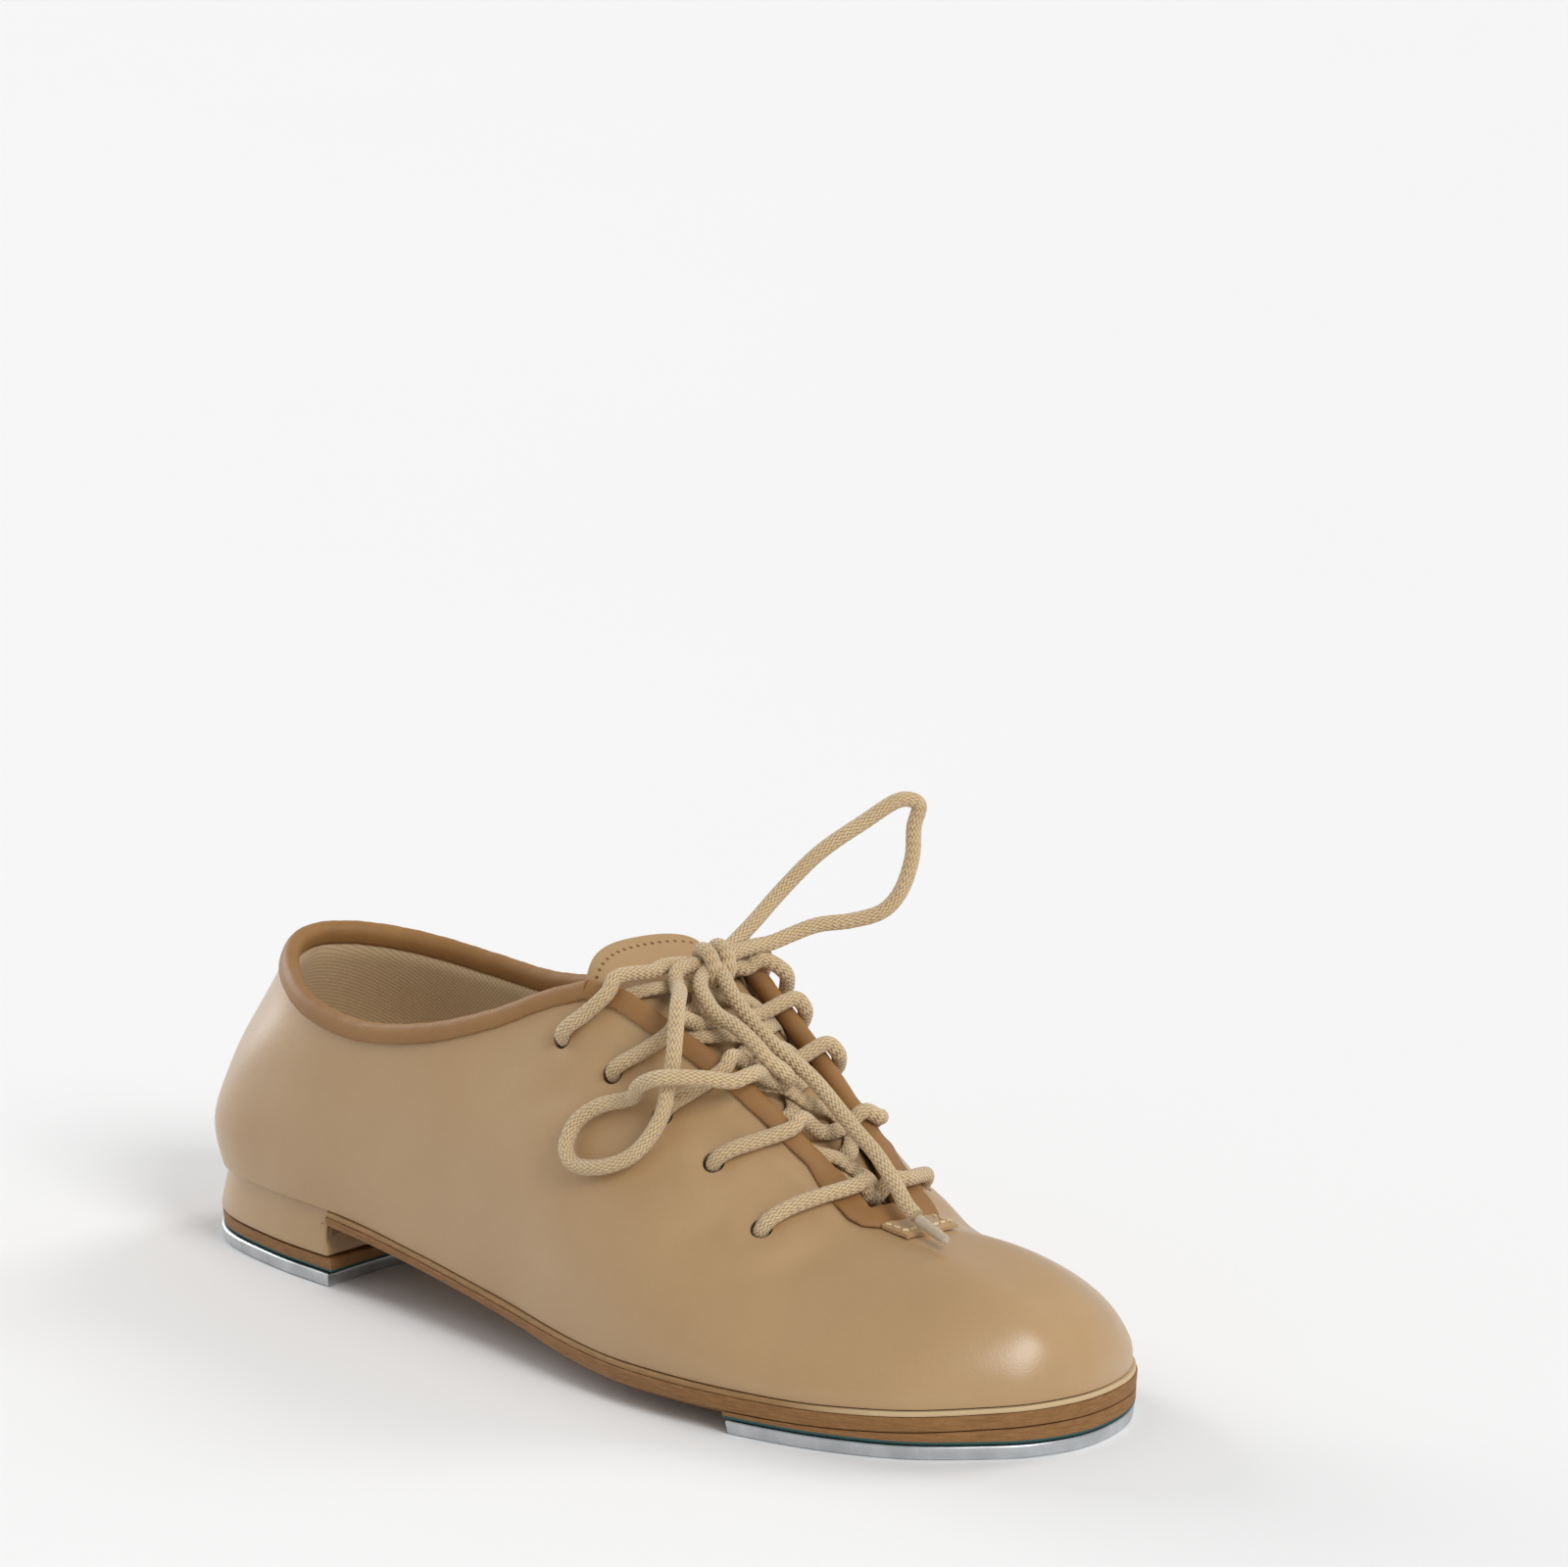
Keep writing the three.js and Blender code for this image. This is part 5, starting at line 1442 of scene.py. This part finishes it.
ROUND_STEPS = 4
TOE_TAP_REAR = 71
HEEL_BREAST = -64
TOE_SCREWS = [(112, 6), (88, -20), (88, 28)]
HEEL_SCREWS = [(-112, 0), (-80, -19), (-80, 19)]
HEAD, NECK, HEAD_DEPTH, CLEARANCE, RECESS = 3.6, 1.5, 1.9, 0.3, 0.3
SHAFT_TOP = 10.5
HEEL_LIFT_TOP = TAP_THICKNESS + GAP + 3
HEEL_TUCK = 3.4
FILLER_END = 38
PAD_PLACE = (69.8, 36)
INSIDE = UPPER_INSET + LINING_DEPTH + LINING + 1.4


def rounded(bottom, top, inset_bottom, inset_top, radius):
    """Levels of a slab from bottom to top: (inset, height function) with rounded corners."""

    def corner(face, inset, up):
        levels = []
        for k in range(ROUND_STEPS + 1):
            a = 0.5 * math.pi * k / ROUND_STEPS
            rise = up * radius * (1 - math.cos(a))
            levels.append((inset + radius * (1 - math.sin(a)), lambda x, rise=rise: face(x) + rise))
        return levels

    return corner(bottom, inset_bottom, 1) + corner(top, inset_top, -1)[::-1]


def slab_piece(name, stations, levels, bow=0.0, ends=(0, 0), columns=9, tuck=None):
    """A layer of the sole. stations(inset) gives lateral and medial stations of its rows;
    bow curves its last row, and ends moves the first and last row in with the outline."""
    width = np.linspace(0, 1, columns)
    base = levels[0][0]
    rows = stations(base)
    taken = np.zeros((2, len(rows[0])))
    if tuck is not None:
        taken = [tuck(plan_point(side, s, 0)[:, 0]) for side, s in zip(SIDES, rows)]
    near = np.clip(1 - np.arange(len(rows[0]))[::-1] / 12, 0, 1) ** 1.5
    grids = []
    for inset, height in levels:
        left, right = (
            plan_point(side, s, inset + more) for side, s, more in zip(SIDES, rows, taken)
        )
        grid = left[:, None] + (right - left)[:, None] * width[None, :, None]
        grid[:, :, 0] += bow * near[:, None] * np.sin(math.pi * width)[None]
        grid[0, :, 0] += ends[0] * (inset - base)
        grid[-1, :, 0] += ends[1] * (inset - base)
        grid[:, :, 2] = height(grid[:, :, 0])
        grids.append(grid)
    loops = [
        np.concatenate([grid[:, 0], grid[-1, 1:], grid[-2::-1, -1], grid[0, -2::-1]])
        for grid in grids
    ]
    points, faces, _ = weld([grids[0], np.stack(loops), grids[-1]])
    return add_mesh(name, points, faces, 40)


def whole(count=150):
    """Rows of stations from the toe tip to the back of the heel."""
    s = np.linspace(0, HEEL_BACK, count + 1)
    return lambda inset: (s, s)


def rows_to(x, start):
    """Rows from the start, which is the toe tip or the back of the heel, to x."""
    share = np.linspace(0, 1, 61)
    return lambda inset: [
        start + share * (outline_station(side, x, inset) - start) for side in SIDES
    ]


def between(from_x, to_x):
    places = np.linspace(from_x, to_x, 31)
    return lambda inset: [
        np.array([outline_station(side, x, inset) for x in places]) for side in SIDES
    ]


def outsole_bottom(x):
    return outsole_top(x) - OUTSOLE_WAIST - (OUTSOLE_FORE - OUTSOLE_WAIST) * smooth((x + 10) / 50)


def under_outsole(x):
    return outsole_bottom(x) - SLACK


def level(height):
    return lambda x: np.full(np.shape(x), float(height))


def heel_tuck(x):
    """The sole is trimmed at the heel, where the heel leather is wrapped up over its edge."""
    return HEEL_TUCK * smooth((HEEL_BREAST - 0.6 - x) / 1.5)


midsole_bottom = above_seat(-MIDSOLE - 0.8 * GAP)
outsole_top = above_seat(-MIDSOLE - GAP)


def add_slab(name, stations, levels, slot, body, nodes, look=None, screws=(), **shape):
    """A layer of the sole, bored for the screws that pass through it."""
    slab = slab_piece(name, stations, levels, **shape)
    if screws:
        wide, low = NECK + 0.4, -1
        rod = [(wide, 0), (wide, SHAFT_TOP - low)]
        drill(slab, join_parts("shafts", [lathed(rod, (x, y, low), (0, 0, 1)) for x, y in screws]))
    place(slab, slot, body, nodes, look)


def add_sole():
    add_slab("outsole", whole(), rounded(outsole_bottom, outsole_top, 0.2, 0, 0.25),
             "sole_leather", "bend", ["outsole_front", "outsole_rear"],
             screws=TOE_SCREWS, tuck=heel_tuck)
    add_slab("midsole", whole(), rounded(midsole_bottom, seat, 0.3, 0.3, 0.25),
             "cream_midsole", "bend", ["midsole_front", "midsole_rear"], tuck=heel_tuck)
    low = level(TAP_THICKNESS + GAP)
    add_slab("tap_board", rows_to(TOE_TAP_REAR - 1, 0), rounded(low, under_outsole, 0.3, 0.2, 0.2),
             "sole_leather", "forefoot", ["toe_tap_board"], "dark_foot_leather", TOE_SCREWS,
             bow=5, ends=(0, 1), columns=17)
    add_slab("ball_rubber", between(*PAD_PLACE), rounded(low, under_outsole, 3, 2.5, 0.7),
             "sole_leather", "forefoot", ["ball_pad"], ends=(-1, 1))


def add_taps():
    taps = {
        "toe": (rows_to(TOE_TAP_REAR, 0), 6, TOE_SCREWS, 8, "forefoot", (0, 1)),
        "heel": (rows_to(HEEL_BREAST - 1, HEEL_BACK), -4, HEEL_SCREWS, 10, "rearfoot", (0, -1)),
    }
    wide, narrow = HEAD + CLEARANCE, NECK + CLEARANCE
    sink = [(wide, 0), (wide, 1 + RECESS), (narrow, 1 + RECESS + HEAD_DEPTH)]
    sink.append((narrow, TAP_THICKNESS + 2))
    for name, (stations, bow, screws, long, body, ends) in taps.items():
        levels = rounded(level(0), level(TAP_THICKNESS), 0.7, 0.4, 0.55)
        tap = slab_piece(f"{name}_plate", stations, levels, bow, ends, 17)
        holes = [lathed(sink, (x, y, -1), (0, 0, 1), 32) for x, y in screws]
        drill(tap, join_parts("holes", holes))
        place(tap, "aluminium_tap", body, [f"{name}_tap"])
        for i, (x, y) in enumerate(screws):
            add_screw(f"{name}_screw_{i + 1}", x, y, long, body, f"{name}_tap_screw_{i + 1}")


DRIVER_REACH, DRIVER_HALF = 1.9, 0.38
BOX_FACES = [[3, 2, 1, 0], [4, 5, 6, 7], [0, 1, 5, 4], [1, 2, 6, 5], [2, 3, 7, 6], [3, 0, 4, 7]]


def add_screw(name, x, y, long, body, node):
    """A countersunk screw with a thread and a cross recess."""
    profile = [(0, RECESS), (HEAD - 0.3, RECESS), (HEAD, RECESS + 0.2), (NECK, RECESS + HEAD_DEPTH)]
    for k, z in enumerate(np.arange(RECESS + HEAD_DEPTH + 0.4, long - 1.4, 0.35)):
        profile.append((NECK - 0.22 * (k % 2), z))
    profile += [(NECK * 0.8, long - 1), (0, long)]
    screw = add_mesh(name, *lathed(profile, (x, y, 0), (0, 0, 1), 32), 30)
    turn = math.radians(25 + 37 * x)  # each stands at its own angle
    for angle in (turn, turn + math.pi / 2):
        way = np.array([math.cos(angle), math.sin(angle), 0])
        square = np.array([-way[1], way[0], 0])
        corners = [
            np.array([x, y, z]) + way * a * DRIVER_REACH + square * b * DRIVER_HALF
            for z in (-0.5, RECESS + 0.9)
            for a, b in ((-1, -1), (1, -1), (1, 1), (-1, 1))
        ]
        drill(screw, join_parts("driver", [(corners, BOX_FACES)]))
    place(screw, "steel", body, [node])


def add_heel():
    lift = rounded(level(TAP_THICKNESS + GAP), level(HEEL_LIFT_TOP), 0.9, 0.6, 0.35)
    add_slab("top_lift", rows_to(HEEL_BREAST, HEEL_BACK), lift, "sole_leather", "rearfoot",
             ["heel_lift"], "dark_foot_leather", HEEL_SCREWS, bow=-3, ends=(0, -1), columns=13)
    block = rounded(level(HEEL_LIFT_TOP + GAP), under_outsole, 2.6, 3.8, 0.2)
    add_slab("heel_stack", rows_to(HEEL_BREAST - 1.5, HEEL_BACK), block, "fibre_board", "rearfoot",
             ["heel_block"], screws=HEEL_SCREWS, bow=-3, ends=(0, -1), columns=13)
    add_heel_leather()


HEEL_CORNER = 2.2  # how far the corners of the heel are rounded along each face
HEEL_STEP = 0.3
HEEL_MIDDLE = (-95, 0, 0)
HEEL_LEATHER = 1.0
ENDS = 12  # repeated end points, so that rounding leaves the ends of the path alone
# Height up the heel's leather, and how far its face is inset there
HEEL_SECTION = [
    (0, 1.0), (0.02, 0.6), (0.05, 0.42), (0.1, 0.45), (0.25, 0.75), (0.5, 1.3), (0.75, 1.85),
    (0.88, 2.1), (0.94, 2.05), (0.97, 2.15), (1, 2.5),
]


def heel_path():
    """Round the heel from the middle of its breast, with rounded corners."""
    sides = []
    for side in SIDES:
        end = outline_station(side, HEEL_BREAST, 0)
        sides.append(plan_point(side, np.linspace(end, HEEL_BACK, 300), 0))
    across = np.linspace(0, 1, 60)[:, None]
    breast = sides[1][0] + (sides[0][0] - sides[1][0]) * across
    breast[:, 0] -= 3 * np.sin(math.pi * across[:, 0])
    loop = np.concatenate([breast[30:-1], sides[0], sides[1][-2::-1], breast[1:31]])
    path = resample(loop, HEEL_STEP)
    longer = np.concatenate([np.repeat(path[:1], ENDS, 0), path, np.repeat(path[-1:], ENDS, 0)])
    half = int(HEEL_CORNER / HEEL_STEP)
    window = np.ones(2 * half + 1) / (2 * half + 1)
    eased = [np.convolve(longer[:, k], window, "same")[ENDS:-ENDS] for k in range(3)]
    eased = np.stack(eased, 1)
    eased[:half] = path[:half]
    eased[-half:] = path[-half:]
    return eased


def add_heel_leather():
    """One piece wrapped round the sides and back of the heel and over its breast."""
    path = heel_path()
    way = tangents(path)
    out = np.stack([way[:, 1], -way[:, 0], np.zeros(len(way))], 1)
    if ((path - HEEL_MIDDLE) * out).sum() < 0:
        out = -out
    low = HEEL_LIFT_TOP + GAP
    on_side = smooth((0.55 - out[:, 0]) / 0.5)
    faces = []
    for depth in (0, HEEL_LEATHER):
        lines = []
        for share, inset in HEEL_SECTION:
            p = path - out * (inset + depth)
            top_breast = under_outsole(p[:, 0]) - 0.02
            top = top_breast + (seat(p[:, 0]) + 0.25 - top_breast) * on_side
            p[:, 2] = low + (top - low) * share
            lines.append(p)
        faces.append(np.stack(lines, 1))
    place(sheet_piece("heel_leather", [faces], CREASE), "tan_leather", "rearfoot", ["heel_cover"])


def add_inside():
    filler = [above_seat(height) for height in (GAP, GAP + 1)]
    add_slab("cork_filler", rows_to(FILLER_END, 0), rounded(*filler, 14, 14, 0.2),
             "foam", "bend", ["forepart_filler"], ends=(0, 1))
    insole = 2 * GAP + 1
    board = [above_seat(height) for height in (insole, insole + 1.8)]
    add_slab("insole", whole(100), rounded(*board, INSIDE, INSIDE, 0.3),
             "fibre_board", "bend", ["insole_board_front", "insole_board_rear"])
    liner = insole + 1.8 + GAP
    sock = [above_seat(height) for height in (liner, liner + 2)]
    add_slab("sock_liner", whole(100), rounded(*sock, INSIDE + 0.2, INSIDE + 0.2, 0.8),
             "lining_cloth", "bend", ["sock_liner_front", "sock_liner_rear"], columns=21)
    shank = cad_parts["shank"]
    shank.data.materials.clear()
    shank.data.materials.append(LOOKS["steel"])


add_camera()
add_studio()
add_bow()
add_rows()
add_under_laces()
add_upper()
add_lining()
add_stiffeners()
add_tongue()
add_bindings()
add_throat_tab()
add_sole()
add_taps()
add_heel()
add_inside()

bpy.context.view_layer.update()
